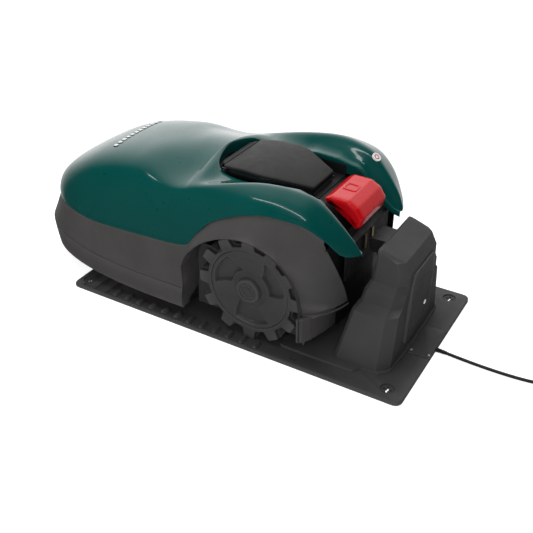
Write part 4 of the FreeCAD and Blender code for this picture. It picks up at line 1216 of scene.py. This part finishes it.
def tread():
    """Grip cleats along the plate's edge on the +Y side."""
    parts = []
    for i in range(CLEATS):
        x = CLEAT_FRONT + CLEAT_PITCH * i
        corners = [(x, 7.6), (x + 2.6, 13.9), (x + 8.4, 13.9), (x + 12, 7.6)]
        outline = rounded(corners, [0.3, 1.2, 1.2, 0.3], 3)
        parts.append(loft([[(a, y, b) for a, b in inset(outline, amount)] for y, amount in CLEAT_LEVELS]))
    return joined(*parts)


dock_piece("dock_cleats_right", tread(), ["dock_right_tread"], sharp=35)
dock_piece("dock_cleats_left", flipped(tread()), ["dock_left_tread"], sharp=35)

# Each level of the tower: height, front, back, half width, corner size.
TOWER_LEVELS = [(9.0, 281, 386, 131, 20), (112, 303, 386, 113, 19), (126, 311, 387, 97, 18),
                (146, 315, 388, 91, 17), (160, 321, 388, 79, 16), (182, 324, 388, 76, 15),
                (203, 325.8, 377, 73.5, 12), (208, 326.3, 362, 72.6, 9), (213.5, 327, 346, 71.2, 6),
                (217.5, 328, 336, 68, 3), (218.8, 329, 332, 62, 1)]


def tower_ring(z, x0, x1, half, corner):
    side = [(x0, half - corner * 0.4), (x0 + corner * 0.4, half), (x1 - corner, half), (x1, half - corner)]
    return [(x, y, z) for x, y in rounded(mirrored_corners(side), min(4.0, corner * 0.3), 3)]


dock_piece("dock_tower_shell", loft([tower_ring(*level) for level in TOWER_LEVELS]), ["dock_tower"], sharp=16,
           bevel=1.6)


def tower_back(z):
    """X of the tower's rear face at height z."""
    levels = [(level[0], level[2]) for level in TOWER_LEVELS]
    for (z0, x0), (z1, x1) in zip(levels, levels[1:]):
        if z <= z1:
            return x0 + (x1 - x0) * (z - z0) / (z1 - z0)
    return levels[-1][1]


def rear_cover():
    """Raised service cover on the tower's rear face."""
    corners = [(58, 30), (54, 150), (44, 176), (-44, 176), (-54, 150), (-58, 30)]
    outline = rounded(corners, [6, 10, 8, 8, 10, 6], 5)
    rings = []
    for out, amount in ((-3.0, 0.0), (2.6, 0.0), (3.5, 0.4), (4.0, 1.4)):
        rings.append([(tower_back(z) + out, y, z) for y, z in inset(outline, amount)])
    inner = inset(outline, 1.4)
    for share in (0.8, 0.55, 0.3):
        spots = [(y * share, 100 + (z - 100) * share) for y, z in inner]
        rings.append([(tower_back(z) + 4.0, y, z) for y, z in spots])
    return loft(rings)


LENS_Y, LENS_Z = 28, 74


def lens_dome():
    profile = [(0, 5.0), (0.8, 5.0), (1.2, 4.6), (1.3, 4.2), (1.8, 3.6), (2.2, 2.4), (2.4, 1.0)]
    return loft(revolved(profile, (tower_back(LENS_Z) + 3.2, LENS_Y, LENS_Z), (1, 0, 0), 32))


def cable_cover():
    """Lid over the lead's channel in the plate."""
    outline = rounded(mirrored_corners([(389.4, 46.6), (434.0, 46.6)]), 2.0, 4)
    return block(outline, ((6.0, 0.3), (8.2, 0.0), (8.9, 0.4), (9.1, 1.1)))


def screw_head(x, y, z, radius):
    """Domed screw head with a deep round socket."""
    profile = [(-1.5, radius), (0.5, radius), (1.0, radius * 0.93), (1.35, radius * 0.7), (1.4, radius * 0.5),
               (0.5, radius * 0.42), (0.3, radius * 0.1)]
    return loft(revolved(profile, (x, y, z), (0, 0, 1)))


dock_piece("dock_service_cover", rear_cover(), ["dock_rear_cover"], sharp=32)
piece("dock_lens", lens_dome(), "lens", "dock", ["dock_status_lens"], sharp=25)
dock_piece("dock_channel_cover", cable_cover(), ["dock_cable_cover"], sharp=32)
screws = joined(*(screw_head(x, SCREW_Y, 9.0, 3.2) for x in SCREW_X))
piece("dock_screw_heads", screws, "steel", "dock", ["dock_screws"], sharp=30)


# --- finishes of the carried-over CAD pieces ---

CARRIED_OVER = {
    "bay_black": "control_bay chassis_tub battery_cover blade_cap caster_fork dock_contact_housing "
                 "dock_contact_carriage",
    "battery_black": "battery_pack stop_switch",
    "contact_metal": "charging_contacts dock_contact_strips",
    "screen": "display_window",
    "steel": "bay_screws lid_pins battery_cover_screws caster_socket deck_guides caster_axle",
    "key_green": "go_button",
    "key_grey": "home_button",
    "knob_grey": "height_knob",
    "board_green": "main_board dock_circuit_board",
    "motor_metal": "left_gearbox right_gearbox left_drive_motor right_drive_motor blade_motor",
    "seal_rubber": "shell_posts",
    "shell_grey": "deck_guard",
    "blade_steel": "blade",
    "tyre_rubber": "caster_wheel",
}
for finish, names in CARRIED_OVER.items():
    for name in names.split():
        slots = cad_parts[name].data.materials
        slots.clear()
        slots.append(FINISH[finish])
